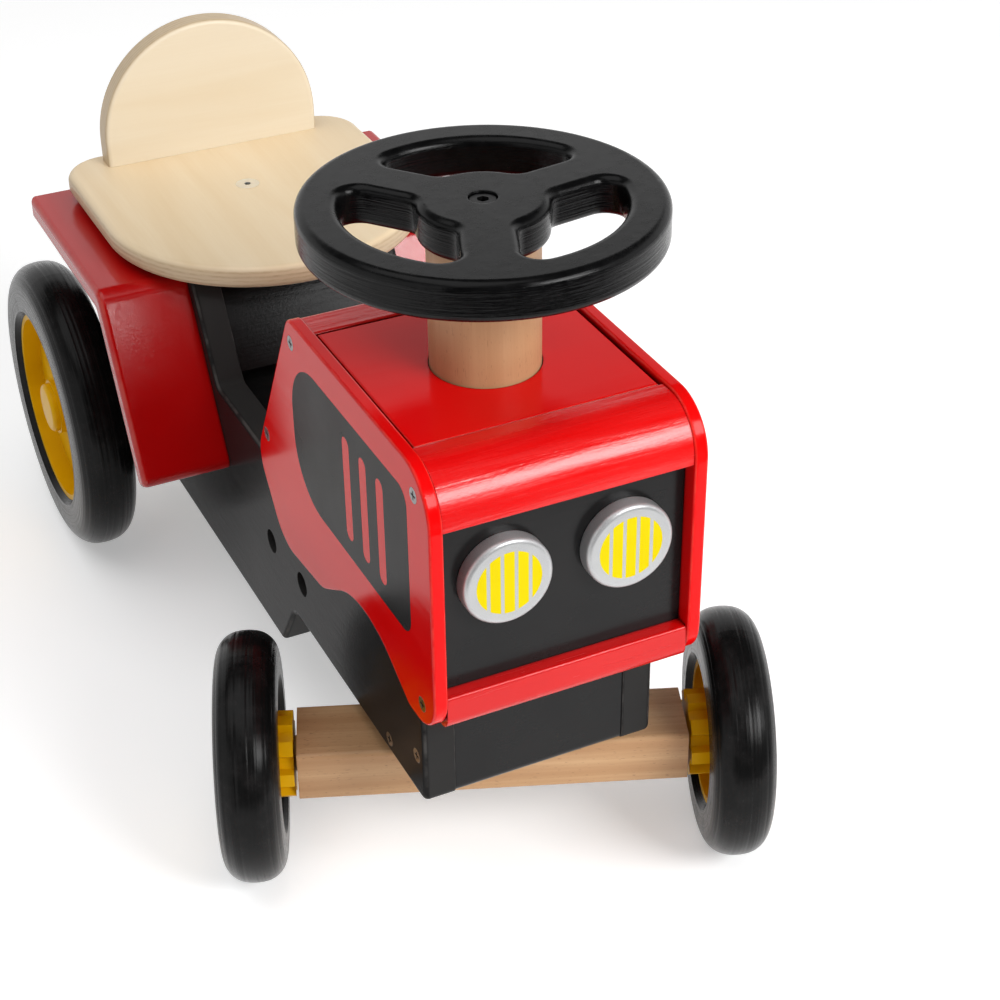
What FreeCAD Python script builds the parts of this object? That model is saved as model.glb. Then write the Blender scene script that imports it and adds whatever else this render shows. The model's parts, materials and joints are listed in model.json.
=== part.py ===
"""Wooden ride-on tractor: a painted box of boards on four rubber-tyred wheels, with a plywood seat.

The front axle beam turns with a round column that carries the steering wheel. Millimetres: x runs
across (+x is the rider's left), the nose points along -y and z is up from the floor. Lengths along
the tractor are counted from the front edge of the hood, and the finished pieces are then shifted so
that the origin lies on the floor under the middle of the whole tractor.
"""
import FreeCAD, Part
import math
import os
import Sketcher
from types import SimpleNamespace

SIZES = {
    # Front wheels
    "front_wheel_radius": 71.0,
    "front_tyre_width": 35.0,
    "front_crown_radius": 30.0,
    "front_shoulder_radius": 14.5,
    "front_tyre_depth": 29.0,
    # Rear wheels
    "rear_wheel_step": 29.0,
    "rear_tyre_width": 38.0,
    "rear_crown_radius": 34.0,
    "rear_shoulder_radius": 16.0,
    "rear_tyre_depth": 34.0,
    # Parts that all four wheels share
    "tyre_lip_height": 3.0,
    "rim_inset": 4.0,
    "rim_wall": 3.5,
    "web_thick": 6.0,
    "boss_radius": 19.0,
    "boss_tooth_height": 5.0,
    "boss_tooth_width": 8.5,
    "boss_reach": 24.0,
    "boss_front": 12.0,
    "clip_pocket_radius": 10.0,
    "clip_pocket_depth": 7.0,
    "cap_radius": 17.0,
    "cap_height": 5.0,
    "cap_spigot": 1.5,
    "cap_round": 3.0,
    # Axles, spacers and clips
    "axle_radius": 5.0,
    "axle_tip": 1.0,
    "clip_radius": 8.5,
    "clip_thick": 1.5,
    "running_fit": 0.05,
    "end_play": 0.3,
    "spacer_radius": 10.0,
    "front_spacer_length": 1.6,
    "rear_spacer_length": 27.2,
    # Front axle beam
    "beam_length": 219.0,
    "beam_depth": 45.6,
    "beam_height": 32.0,
    "beam_round": 3.0,
    "beam_bolt_inset": 8.8,
    "beam_bolt_radius": 3.0,
    "beam_bolt_length": 70.0,
    "beam_bolt_head_radius": 6.0,
    "beam_bolt_head_height": 4.0,
    "beam_bolt_recess": 6.0,
    # Steering
    "steer_along": 96.0,
    "steer_angle": -21.6,
    "column_radius": 28.5,
    "column_gap": 0.5,
    "thrust_ring_radius": 36.0,
    "thrust_ring_height": 13.0,
    "steering_clear": 66.5,
    "steering_radius": 91.0,
    "steering_thick": 21.0,
    "steering_hub_radius": 33.0,
    "steering_rim_width": 21.0,
    "spoke_width": 28.5,
    "opening_corner": 9.0,
    "steering_round": 4.5,
    "wheel_bolt_radius": 4.0,
    "wheel_bolt_length": 60.0,
    "wheel_bolt_head_radius": 6.5,
    "wheel_bolt_head_height": 5.0,
    "wheel_bolt_socket": 3.2,
    "wheel_bolt_socket_depth": 3.0,
    "wheel_bolt_recess_radius": 7.4,
    "wheel_bolt_recess": 6.0,
    "insert_wall": 3.5,
    "insert_length": 18.0,
    "dowel_radius": 4.0,
    "dowel_length": 24.0,
    "dowel_offset": 18.0,
    # Chassis boards
    "chassis_width": 135.0,
    "board_thick": 18.0,
    "board_round": 3.0,
    "board_inner_round": 1.2,
    "chassis_front": 34.0,
    "chassis_front_corner": 5.0,
    "chassis_side_height": 94.0,
    "chassis_length": 528.0,
    "chassis_rear_corner": 20.0,
    "belly_drop": 39.0,
    "notch_start": 226.0,
    "notch_length": 26.0,
    "notch_inner_round": 14.0,
    "notch_outer_round": 4.0,
    "riser_length": 220.0,
    "riser_lean": 37.0,
    "riser_foot_round": 6.0,
    "side_hole_radius": 7.5,
    "side_hole_along": 208.4,
    "side_hole_pitch": 50.0,
    "side_hole_rise": 31.0,
    "front_plate_setback": 1.0,
    "front_screw_drop": 5.0,
    "lower_bearing_length": 112.0,
    "upper_bearing_length": 346.0,
    "upper_bearing_drop": 10.0,
    "seat_board_thick": 14.0,
    "seat_board_setback": 15.0,
    "seat_board_lift": 8.5,
    "batten_depth": 52.0,
    "axle_block_depth": 36.0,
    "axle_block_height": 36.0,
    "rear_plate_lift": 14.0,
    # Hood
    "panel_thick": 7.5,
    "hood_rise": 128.0,
    "hood_length": 180.5,
    "hood_front_round": 29.0,
    "hood_rear_round": 10.0,
    "hood_overlap": 29.0,
    "hood_tail_run": 34.0,
    "hood_tail_rise": 39.5,
    "hood_tail_round": 22.0,
    "hood_lobe_run": 61.0,
    "hood_lobe_drop": 5.5,
    "hood_lobe_round": 30.0,
    "hood_arch_foot_run": 60.6,
    "hood_arch_foot_rise": 1.0,
    "hood_arch_foot_round": 30.0,
    "hood_arch_lead": 4.6,
    "hood_arch_rise": 37.0,
    "hood_arch_round": 70.0,
    "hood_nose_run": 58.4,
    "hood_nose_round": 12.0,
    "hood_chin_round": 22.0,
    "hood_chin_rise": 5.0,
    "panel_edge_round": 1.5,
    "rail_inset": 1.5,
    "front_rail_depth": 35.0,
    "front_rail_height": 29.0,
    "front_rail_lip": 3.0,
    "top_panel_thick": 10.0,
    "top_panel_drop": 0.6,
    "top_panel_round": 1.2,
    "top_panel_gap": 1.5,
    "top_panel_groove": 0.9,
    "top_panel_groove_depth": 3.5,
    "rear_rail_top_depth": 20.5,
    "rear_rail_height": 24.0,
    "rear_rail_round": 4.0,
    "back_rail_lift": 19.0,
    "back_rail_height": 24.0,
    "back_rail_depth": 24.0,
    "back_panel_thick": 8.0,
    "low_rail_depth": 20.0,
    "low_rail_lift": 7.5,
    "low_rail_height": 21.0,
    "low_rail_round": 8.0,
    "grille_setback": 9.6,
    "grille_thick": 8.0,
    "headlight_radius": 24.1,
    "headlight_thick": 8.6,
    "headlight_round": 2.6,
    "headlight_spread": 33.3,
    "headlight_drop": 68.5,
    # Seat
    "seat_thick": 14.0,
    "seat_radius": 101.0,
    "seat_straight": 113.0,
    "seat_rear_inset": 17.0,
    "seat_corner": 28.0,
    "seat_round": 5.0,
    "seat_bolt_setback": 24.0,
    "seat_bolt_radius": 3.0,
    "seat_bolt_length": 30.0,
    "seat_bolt_head_radius": 7.6,
    "seat_bolt_head_height": 2.6,
    "seat_bolt_socket": 2.3,
    "seat_bolt_socket_depth": 1.8,
    "seat_insert_length": 16.0,
    "back_inset": 25.0,
    "back_thick": 17.0,
    "back_radius": 73.0,
    "back_foot": 15.0,
    "back_round": 3.0,
    "back_screw_offset": 42.0,
    # Mudguards
    "guard_width": 56.0,
    "guard_thick": 15.0,
    "guard_clear": 36.0,
    "guard_seat_gap": 5.0,
    "guard_length": 155.0,
    "guard_rear_inset": 21.0,
    "guard_leg_run": 58.0,
    "guard_leg_drop": 107.0,
    "guard_bend_round": 12.0,
    "guard_edge_round": 4.0,
    "guard_foot_round": 6.0,
    # Wood screws
    "screw_head_radius": 4.2,
    "screw_shank_radius": 2.0,
    "screw_fit": 0.05,
    "screw_slot_width": 1.0,
    "screw_slot_length": 5.0,
    "screw_slot_depth": 1.2,
    "board_screw_bite": 20.0,
    "panel_screw_bite": 18.5,
    "headlight_screw_bite": 5.5,
    "fixing_screw_bite": 5.0,
}
TOOTH_COUNT = 8
SPOKE_COUNT = 3
HEX_COUNT = 6
LOW_RAIL_SCREW_SHARE = 0.8
GUARD_SCREW_SHARE = 0.25
RIGHT, LEFT = -1, 1
SIDES = {RIGHT: "right", LEFT: "left"}
START_INDEX, END_INDEX, CENTRE_INDEX = 1, 2, 3
SKETCH_ORIGIN = (-1, 1)
SKETCH_AXES = (-2, -1)
DISTANCES = ("DistanceX", "DistanceY")
UP = FreeCAD.Vector(0, 0, 1)
PLANE_AXES = {"YZ_Plane": (1, 2), "XY_Plane": (0, 1), "XZ_Plane": (0, 2)}
SAME_PLACE = 1e-4


class Size:
    """A named size or a sum of them: the text binds a property to the sheet, the number draws."""

    def __init__(self, text, number):
        self.text = text
        self.number = number

    def __add__(self, other):
        other = as_size(other)
        return Size(f"({self.text} + {other.text})", self.number + other.number)

    def __sub__(self, other):
        other = as_size(other)
        return Size(f"({self.text} - {other.text})", self.number - other.number)

    def __mul__(self, other):
        other = as_size(other)
        return Size(f"({self.text} * {other.text})", self.number * other.number)

    def __truediv__(self, other):
        other = as_size(other)
        return Size(f"({self.text} / {other.text})", self.number / other.number)

    def __neg__(self):
        return self * -1

    __rmul__ = __mul__


def as_size(value):
    """A share, a count or zero in the form of a size."""
    if isinstance(value, Size):
        return value
    return Size(f"({float(value)})", float(value))


def root(value):
    return Size(f"sqrt({value.text})", math.sqrt(value.number))


def cosine(angle):
    return Size(f"cos({angle.text})", math.cos(math.radians(angle.number)))


def sine(angle):
    return Size(f"sin({angle.text})", math.sin(math.radians(angle.number)))


def fill_sheet(sheet):
    """Write the driving sizes into the sheet, one aliased cell each."""
    for row, (alias, number) in enumerate(SIZES.items(), 1):
        sheet.set(f"A{row}", alias)
        sheet.set(f"B{row}", str(number))
        sheet.setAlias(f"B{row}", alias)


doc = FreeCAD.newDocument("ride_on_tractor")
sheet = doc.addObject("Spreadsheet::Sheet", "Sizes")
fill_sheet(sheet)
doc.recompute()
size = SimpleNamespace(**{name: Size(f"Sizes.{name}", float(sheet.get(name))) for name in SIZES})
pieces = []


# Drawing helpers

def new_body(label):
    """An empty body that will be written out under its label."""
    body = doc.addObject("PartDesign::Body", label)
    body.Label = label
    body.AllowCompound = True
    pieces.append(body)
    return body


def new_sketch(body, plane, start=0):
    """A sketch on one of the body's own planes, lifted off it by start along the plane's normal."""
    sketch = body.newObject("Sketcher::SketchObject", f"{body.Name}_sketch")
    base = next(item for item in body.Origin.OriginFeatures if item.Role == plane)
    sketch.AttachmentSupport = [(base, "")]
    sketch.MapMode = "FlatFace"
    sketch.setExpression("AttachmentOffset.Base.z", as_size(start).text)
    return sketch


def spot(place):
    """The drawn point of a pair of sizes."""
    return FreeCAD.Vector(as_size(place[0]).number, as_size(place[1]).number, 0)


def bind(sketch, constraint, value):
    """Add a constraint and tie it to the sheet."""
    index = sketch.addConstraint(constraint)
    sketch.setExpression(f"Constraints[{index}]", value.text)


def hold(sketch, item, point, way, value):
    """Hold a point of a sketch item at a distance from one of the sketch's axes."""
    if isinstance(value, Size):
        kind = DISTANCES[way]
        bind(sketch, Sketcher.Constraint(kind, *SKETCH_ORIGIN, item, point, value.number), value)
    else:
        sketch.addConstraint(Sketcher.Constraint("PointOnObject", item, point, SKETCH_AXES[way]))


def pin(sketch, item, point, place):
    """Hold a point of a sketch item at a place given in sizes."""
    for way, value in enumerate(place):
        hold(sketch, item, point, way, value)


def add_arc(sketch, first, last, centre):
    """Draw the arc that runs anticlockwise from first to last round the centre."""
    middle = spot(centre)
    arms = [spot(place).sub(middle) for place in (first, last)]
    begin, finish = [math.atan2(arm.y, arm.x) for arm in arms]
    if finish < begin:
        finish += 2 * math.pi
    ring = Part.Circle(middle, UP, arms[0].Length)
    return sketch.addGeometry(Part.ArcOfCircle(ring, begin, finish))


def wire(sketch, steps):
    """Close an outline: each step is a place and how to go on, None straight or (centre, turn)."""
    ends = []
    for index, (place, bend) in enumerate(steps):
        following = steps[(index + 1) % len(steps)][0]
        if bend is None:
            item = sketch.addGeometry(Part.LineSegment(spot(place), spot(following)))
            ends.append((item, START_INDEX, END_INDEX))
            continue
        centre, turn = bend
        if turn > 0:
            item = add_arc(sketch, place, following, centre)
            ends.append((item, START_INDEX, END_INDEX))
        else:
            item = add_arc(sketch, following, place, centre)
            ends.append((item, END_INDEX, START_INDEX))
        chord = spot(following).sub(spot(place))
        way = 1 if abs(chord.x) > abs(chord.y) else 0
        hold(sketch, item, CENTRE_INDEX, way, centre[way])
    for index, (place, bend) in enumerate(steps):
        item, begin, finish = ends[index]
        following = ends[(index + 1) % len(steps)]
        link = Sketcher.Constraint("Coincident", item, finish, following[0], following[1])
        sketch.addConstraint(link)
        pin(sketch, item, begin, place)


def polygon(sketch, places):
    wire(sketch, [(place, None) for place in places])


def circle(sketch, place, radius):
    item = sketch.addGeometry(Part.Circle(spot(place), UP, radius.number))
    pin(sketch, item, CENTRE_INDEX, place)
    bind(sketch, Sketcher.Constraint("Radius", item, radius.number), radius)


def pad(body, sketch, length, both_ways=False):
    feature = body.newObject("PartDesign::Pad", f"{body.Name}_pad")
    feature.Profile = sketch
    feature.setExpression("Length", length.text)
    if both_ways:
        feature.SideType = "Symmetric"
    doc.recompute()
    return feature


def pocket(body, sketch, depth=None, along_normal=False):
    """Cut the sketch out of the body, right through or to a depth, and see that it cut something."""
    before = body.Shape.Volume
    feature = body.newObject("PartDesign::Pocket", f"{body.Name}_cut")
    feature.Profile = sketch
    if depth is None:
        feature.Type = "ThroughAll"
        feature.SideType = "Symmetric"
    else:
        feature.setExpression("Length", depth.text)
        feature.Reversed = along_normal
    doc.recompute()
    if body.Shape.Volume > before - SAME_PLACE:
        raise RuntimeError(f"{feature.Name} cuts nothing")
    return feature


def revolve(body, sketch, axis="H_Axis"):
    feature = body.newObject("PartDesign::Revolution", f"{body.Name}_turned")
    feature.Profile = sketch
    feature.ReferenceAxis = (sketch, [axis])
    doc.recompute()
    return feature


def dress(body, kind, edges, amount):
    """Round or bevel the chosen edges of the body as it stands."""
    if not edges:
        raise RuntimeError(f"{body.Name} has no such edge")
    base = body.Tip
    feature = body.newObject(f"PartDesign::{kind}", f"{body.Name}_{kind.lower()}")
    feature.Base = (base, edges)
    feature.setExpression("Radius" if kind == "Fillet" else "Size", amount.text)
    doc.recompute()
    return feature


def edges_where(body, test):
    shape = body.Tip.Shape
    return [f"Edge{index}" for index, edge in enumerate(shape.Edges, 1) if test(edge)]


def corner_test(plane, places):
    """True for the edges that stand square on the plane at one of the places."""
    first, second = PLANE_AXES[plane]
    wanted = [spot(place) for place in places]

    def test(edge):
        if edge.isClosed():
            return False
        points = [vertex.Point for vertex in edge.Vertexes]
        for want in wanted:
            if all(math.hypot(p[first] - want.x, p[second] - want.y) < SAME_PLACE for p in points):
                return True
        return False

    return test


def rim_test(axis, level, skip_circles=True):
    """True for the edges that lie wholly at one level along an axis, whole circles left out."""
    def test(edge):
        if skip_circles and edge.isClosed():
            return False
        return all(abs(v.Point[axis] - level.number) < SAME_PLACE for v in edge.Vertexes)

    return test


def board(label, plane, start, depth, corners):
    """A flat piece: an outline of (place, place, corner radius or None), given its thickness."""
    body = new_body(label)
    sketch = new_sketch(body, plane, start)
    polygon(sketch, [corner[:2] for corner in corners])
    pad(body, sketch, depth)
    radii = {}
    for corner in corners:
        if corner[2] is not None:
            radii.setdefault(corner[2].text, []).append(corner)
    for group in radii.values():
        chosen = edges_where(body, corner_test(plane, [corner[:2] for corner in group]))
        dress(body, "Fillet", chosen, group[0][2])
    return body


def drill(body, plane, places, radius, start=0, depth=None, along_normal=False):
    """Round holes at the places, right through or to a depth from the start plane."""
    sketch = new_sketch(body, plane, start)
    for place in places:
        circle(sketch, place, radius)
    pocket(body, sketch, depth, along_normal)


def countersink(body, axis, level, radius, bevel):
    """Bevel the mouths of the round holes of one radius that open at a level along an axis."""
    def test(edge):
        if not edge.isClosed() or abs(edge.Curve.Radius - radius.number) > SAME_PLACE:
            return False
        return abs(edge.Vertexes[0].Point[axis] - level.number) < SAME_PLACE

    dress(body, "Chamfer", edges_where(body, test), bevel)


def tyre_section(radius, width, crown, shoulder):
    """Where a tyre's round shoulders run into its gently arched tread."""
    inset, spread = width / 2 - shoulder, crown - shoulder
    rise = root(spread * spread - inset * inset)
    return SimpleNamespace(
        half=width / 2, inset=inset, crown_up=radius - crown, shoulder_up=radius - crown + rise,
        meet_across=crown * inset / spread, meet_up=radius - crown + crown * rise / spread)


def set_place(item, across, along, up, turn=None):
    """Stand a finished piece in the tractor's frame."""
    for name, value in zip("xyz", (across, along, up)):
        item.setExpression(f"Placement.Base.{name}", as_size(value).text)
    if turn is not None:
        item.setExpression("Placement.Rotation.Angle", turn.text)


# Sizes that follow from the driving ones

inner_half = size.chassis_width / 2 - size.board_thick
outer_half = size.chassis_width / 2
hood_half = outer_half + size.panel_thick
axle_bore = size.axle_radius + size.running_fit
column_bore = size.column_radius + size.running_fit
screw_bore = size.screw_shank_radius + size.screw_fit
screw_bevel = size.screw_head_radius - size.screw_shank_radius
dowel_bore = size.dowel_radius + size.screw_fit

# Heights, from the floor up
rear_wheel_radius = size.front_wheel_radius + size.rear_wheel_step
beam_top = size.front_wheel_radius + size.beam_height / 2
beam_bottom = size.front_wheel_radius - size.beam_height / 2
chassis_bottom = beam_top + size.thrust_ring_height
belly_bottom = chassis_bottom - size.belly_drop
chassis_top = chassis_bottom + size.chassis_side_height
upper_bearing_top = chassis_top - size.upper_bearing_drop
side_hole_up = chassis_bottom + size.side_hole_rise
guard_top = rear_wheel_radius * 2 + size.guard_clear + size.guard_thick
seat_bottom = guard_top + size.guard_seat_gap
seat_top = seat_bottom + size.seat_thick
hood_top = chassis_top + size.hood_rise
rail_top = hood_top - size.rail_inset
nose_up = chassis_top - size.hood_overlap
chin_up = nose_up + size.hood_chin_rise
tail_up = nose_up + size.hood_tail_rise
low_rail_bottom = nose_up + size.low_rail_lift
low_rail_top = low_rail_bottom + size.low_rail_height
headlight_up = hood_top - size.headlight_drop
back_rail_bottom = chassis_top + size.back_rail_lift
back_rail_top = back_rail_bottom + size.back_rail_height
steering_bottom = hood_top + size.steering_clear
steering_top = steering_bottom + size.steering_thick

# Lengths along the tractor, from the front of the hood
chassis_rear = size.chassis_front + size.chassis_length
front_plate_front = size.chassis_front + size.front_plate_setback
front_plate_back = front_plate_front + size.board_thick
rear_plate_front = chassis_rear - size.board_thick
rear_axle_along = rear_plate_front - size.axle_block_depth / 2
notch_end = size.notch_start + size.notch_length
riser_foot = chassis_rear - size.riser_length
riser_head = riser_foot + size.riser_lean
seat_rear = chassis_rear - size.seat_rear_inset
seat_centre = seat_rear - size.seat_straight
seat_bolt_along = seat_centre + size.seat_bolt_setback
back_front = seat_rear - size.back_inset
back_rear = back_front + size.back_thick
batten_front = seat_bolt_along - size.batten_depth / 2
guard_rear = chassis_rear - size.guard_rear_inset
guard_bend_along = guard_rear - size.guard_length
guard_foot_along = guard_bend_along - size.guard_leg_run
arch_along = size.steer_along - size.hood_arch_lead
arch_foot_along = arch_along + size.hood_arch_foot_run
lobe_along = arch_foot_along + size.hood_lobe_run
tail_along = lobe_along + size.hood_tail_run
nose_along = arch_along - size.hood_nose_run
top_panel_rear = size.hood_length - size.rear_rail_top_depth
grille_back = size.grille_setback + size.grille_thick
riser_slope = size.riser_lean / (seat_bottom - chassis_top)
tail_slope = (tail_along - size.hood_length) / (hood_top - tail_up)

# Wheels on their axles, and the whole tractor's length
front_wheel_across = size.beam_length / 2 + size.front_spacer_length + size.end_play + size.boss_reach
rear_wheel_across = outer_half + size.rear_spacer_length + size.end_play + size.boss_reach
clip_seat = size.boss_front - size.clip_pocket_depth + size.end_play
axle_past_wheel = clip_seat + size.clip_thick + size.axle_tip
beam_bolt_offset = size.beam_depth / 2 - size.beam_bolt_inset
turn_cosine = cosine(size.steer_angle)
turn_sine = sine(size.steer_angle)
front_rim = size.front_wheel_radius - size.front_tyre_depth
rear_rim = rear_wheel_radius - size.rear_tyre_depth
front_section = tyre_section(size.front_wheel_radius, size.front_tyre_width, size.front_crown_radius,
                             size.front_shoulder_radius)
rear_section = tyre_section(rear_wheel_radius, size.rear_tyre_width, size.rear_crown_radius,
                            size.rear_shoulder_radius)
nose_reach = front_section.shoulder_up * turn_cosine - front_section.inset * turn_sine \
    + size.front_shoulder_radius
foremost = size.steer_along + front_wheel_across * turn_sine - nose_reach
rearmost = rear_axle_along + rear_wheel_radius
middle_along = (foremost + rearmost) / 2


def on_chassis(body):
    set_place(body, 0, -middle_along, 0)
    return body


def on_steering(body):
    set_place(body, 0, size.steer_along - middle_along, 0, size.steer_angle)
    return body


def tail_edge(up):
    """How far back the hood's slanted rear edge lies at a height, less the rails' inset."""
    return size.hood_length + (hood_top - up) * tail_slope - size.rail_inset


# Places of the wood screws, each a pair (along, up) seen from the side

seat_board_middle = riser_foot + size.seat_board_setback + size.seat_board_thick / 2
seat_board_screw_up = (chassis_top + seat_bottom) / 2
lower_bearing_screw_along = size.steer_along - size.column_radius / 2
upper_bearing_screw_along = lobe_along - size.hood_lobe_run / 4
rear_plate_middle = rear_plate_front + size.board_thick / 2
plate_screws = [
    ((front_plate_front + front_plate_back) / 2, side_hole_up - size.front_screw_drop),
    (lower_bearing_screw_along, chassis_bottom + size.board_thick / 2),
    (upper_bearing_screw_along, upper_bearing_top - size.board_thick / 2),
    (seat_board_middle + (seat_board_screw_up - chassis_top) * riser_slope, seat_board_screw_up),
    (seat_bolt_along, seat_bottom - size.board_thick / 2),
    (rear_plate_middle, seat_bottom - size.chassis_rear_corner),
    (rear_plate_middle, side_hole_up),
]
guard_foot_up = guard_top - size.guard_leg_drop
guard_rise = size.guard_leg_drop / size.guard_leg_run
guard_leg_length = root(size.guard_leg_drop * size.guard_leg_drop + size.guard_leg_run * size.guard_leg_run)
guard_shift = size.guard_thick * size.guard_leg_drop / guard_leg_length
guard_drop = size.guard_thick * size.guard_leg_run / guard_leg_length
guard_top_middle = guard_top - size.guard_thick / 2
guard_screws = [
    (guard_foot_along + guard_shift / 2 + size.guard_leg_run * GUARD_SCREW_SHARE,
     guard_foot_up - guard_drop / 2 + size.guard_leg_drop * GUARD_SCREW_SHARE),
    (guard_bend_along + size.guard_length / 4, guard_top_middle),
    (guard_rear - size.guard_length / 4, guard_top_middle),
]
fixing_up = chassis_top - size.board_thick
fixing_screws = [
    (lobe_along, fixing_up),
    (lobe_along - size.hood_lobe_run / 2, fixing_up),
]
front_rail_screw = (size.front_rail_depth / 2, rail_top - size.front_rail_height / 2)
rear_rail_screw_up = rail_top - size.rear_rail_height / 2
rear_rail_screw = (tail_edge(rear_rail_screw_up) - size.rear_rail_top_depth / 2, rear_rail_screw_up)
back_rail_screw_up = back_rail_bottom + size.back_rail_height / 2
back_rail_screw = (tail_edge(back_rail_screw_up) - size.back_rail_depth / 4, back_rail_screw_up)
low_rail_screw = (size.low_rail_depth * LOW_RAIL_SCREW_SHARE, low_rail_bottom + size.low_rail_height / 2)
hood_screws = [front_rail_screw, rear_rail_screw, back_rail_screw, low_rail_screw]


# Chassis

def chassis_side(side):
    """One side board, from under the hood back to the riser that carries the seat."""
    start = inner_half if side == LEFT else -outer_half
    corners = [
        (size.chassis_front, chassis_top, None),
        (size.chassis_front, chassis_bottom, size.chassis_front_corner),
        (size.notch_start, chassis_bottom, size.notch_inner_round),
        (notch_end, belly_bottom, size.notch_outer_round),
        (chassis_rear, belly_bottom, size.chassis_rear_corner),
        (chassis_rear, seat_bottom, None),
        (riser_head, seat_bottom, None),
        (riser_foot, chassis_top, size.riser_foot_round),
    ]
    body = board(f"chassis_side_{SIDES[side]}", "YZ_Plane", start, size.board_thick, corners)
    outer, inner = outer_half * side, inner_half * side
    dress(body, "Fillet", edges_where(body, rim_test(0, outer)), size.board_round)
    dress(body, "Fillet", edges_where(body, rim_test(0, inner)), size.board_inner_round)
    holes = [(size.side_hole_along + size.side_hole_pitch * step, side_hole_up) for step in (0, 1)]
    drill(body, "YZ_Plane", holes, size.side_hole_radius)
    drill(body, "YZ_Plane", [(rear_axle_along, rear_wheel_radius)], axle_bore)
    drill(body, "YZ_Plane", plate_screws, screw_bore)
    countersink(body, 0, outer, screw_bore, screw_bevel)
    drill(body, "YZ_Plane", guard_screws + fixing_screws, screw_bore)
    countersink(body, 0, inner, screw_bore, screw_bevel)
    return on_chassis(body)


def end_holes(body, places, half, length):
    """Blind screw holes into both ends of a piece that runs across the tractor."""
    for side in SIDES:
        drill(body, "YZ_Plane", places, screw_bore, half * side, length, side == RIGHT)


def cross_board(label, corners, screws):
    """A board between the two chassis sides, drawn from the side."""
    body = board(label, "YZ_Plane", -inner_half, inner_half * 2, corners)
    end_holes(body, screws, inner_half, size.board_screw_bite + size.end_play)
    return on_chassis(body)


def box_corners(front, back, bottom, top):
    return [(front, bottom, None), (back, bottom, None), (back, top, None), (front, top, None)]


def bearing_board(label, bottom, length, screw):
    """A level board behind the front plate that guides the steering column."""
    top = bottom + size.board_thick
    body = cross_board(label, box_corners(front_plate_back, front_plate_back + length, bottom, top), [screw])
    drill(body, "XY_Plane", [(0, size.steer_along)], column_bore)
    return body


def chassis_boards():
    """The boards between the chassis sides, from the nose to the tail."""
    top, bottom = chassis_top, chassis_bottom
    plate = box_corners(front_plate_front, front_plate_back, bottom, top)
    plate[0] = (front_plate_front, bottom, size.chassis_front_corner)
    cross_board("front_plate", plate, plate_screws[:1])
    bearing_board("lower_bearing_board", bottom, size.lower_bearing_length, plate_screws[1])
    bearing_board("upper_bearing_board", upper_bearing_top - size.board_thick, size.upper_bearing_length,
                  plate_screws[2])
    head = riser_head + size.seat_board_setback
    foot_up = upper_bearing_top + size.seat_board_lift
    foot = riser_foot + size.seat_board_setback + (foot_up - top) * riser_slope
    leaning = [
        (foot, foot_up, None),
        (foot + size.seat_board_thick, foot_up, None),
        (head + size.seat_board_thick, seat_bottom, None),
        (head, seat_bottom, None),
    ]
    cross_board("seat_front_board", leaning, plate_screws[3:4])
    batten = box_corners(batten_front, batten_front + size.batten_depth,
                         seat_bottom - size.board_thick, seat_bottom)
    body = cross_board("seat_batten", batten, plate_screws[4:5])
    insert_bore = size.seat_bolt_radius + size.insert_wall + size.screw_fit
    drill(body, "XY_Plane", [(0, seat_bolt_along)], insert_bore)
    rear = box_corners(rear_plate_front, chassis_rear - size.board_round,
                       belly_bottom + size.rear_plate_lift, seat_bottom)
    cross_board("rear_plate", rear, plate_screws[5:])


def rear_axle_block():
    """A block between the sides, in front of the rear plate, that backs up the rear axle."""
    middle = rear_wheel_radius
    corners = box_corners(rear_plate_front - size.axle_block_depth, rear_plate_front,
                          middle - size.axle_block_height / 2, middle + size.axle_block_height / 2)
    body = board("rear_axle_block", "YZ_Plane", -inner_half, inner_half * 2, corners)
    drill(body, "YZ_Plane", [(rear_axle_along, middle)], axle_bore)
    return on_chassis(body)


# Hood

def hood_side(side):
    """One hood panel with its arch over the front axle."""
    corners = [
        (0, hood_top, size.hood_front_round),
        (size.hood_length, hood_top, size.hood_rear_round),
        (tail_along, tail_up, size.hood_tail_round),
        (lobe_along, nose_up - size.hood_lobe_drop, size.hood_lobe_round),
        (arch_foot_along, nose_up + size.hood_arch_foot_rise, size.hood_arch_foot_round),
        (arch_along, nose_up + size.hood_arch_rise, size.hood_arch_round),
        (nose_along, chin_up, size.hood_nose_round),
        (0, chin_up, size.hood_chin_round),
    ]
    start = outer_half if side == LEFT else -hood_half
    body = board(f"hood_side_{SIDES[side]}", "YZ_Plane", start, size.panel_thick, corners)
    for level in (outer_half * side, hood_half * side):
        dress(body, "Fillet", edges_where(body, rim_test(0, level)), size.panel_edge_round)
    drill(body, "YZ_Plane", hood_screws, screw_bore)
    countersink(body, 0, hood_half * side, screw_bore, screw_bevel)
    fixing_depth = size.fixing_screw_bite + size.end_play
    drill(body, "YZ_Plane", fixing_screws, screw_bore, outer_half * side, fixing_depth, side == LEFT)
    return on_chassis(body)


def hood_rail(label, corners, screw, half=outer_half):
    """A bar between the two hood panels, drawn from the side."""
    body = board(label, "YZ_Plane", -half, half * 2, corners)
    if screw is not None:
        end_holes(body, [screw], outer_half, size.panel_screw_bite + size.end_play)
    return on_chassis(body)


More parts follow.
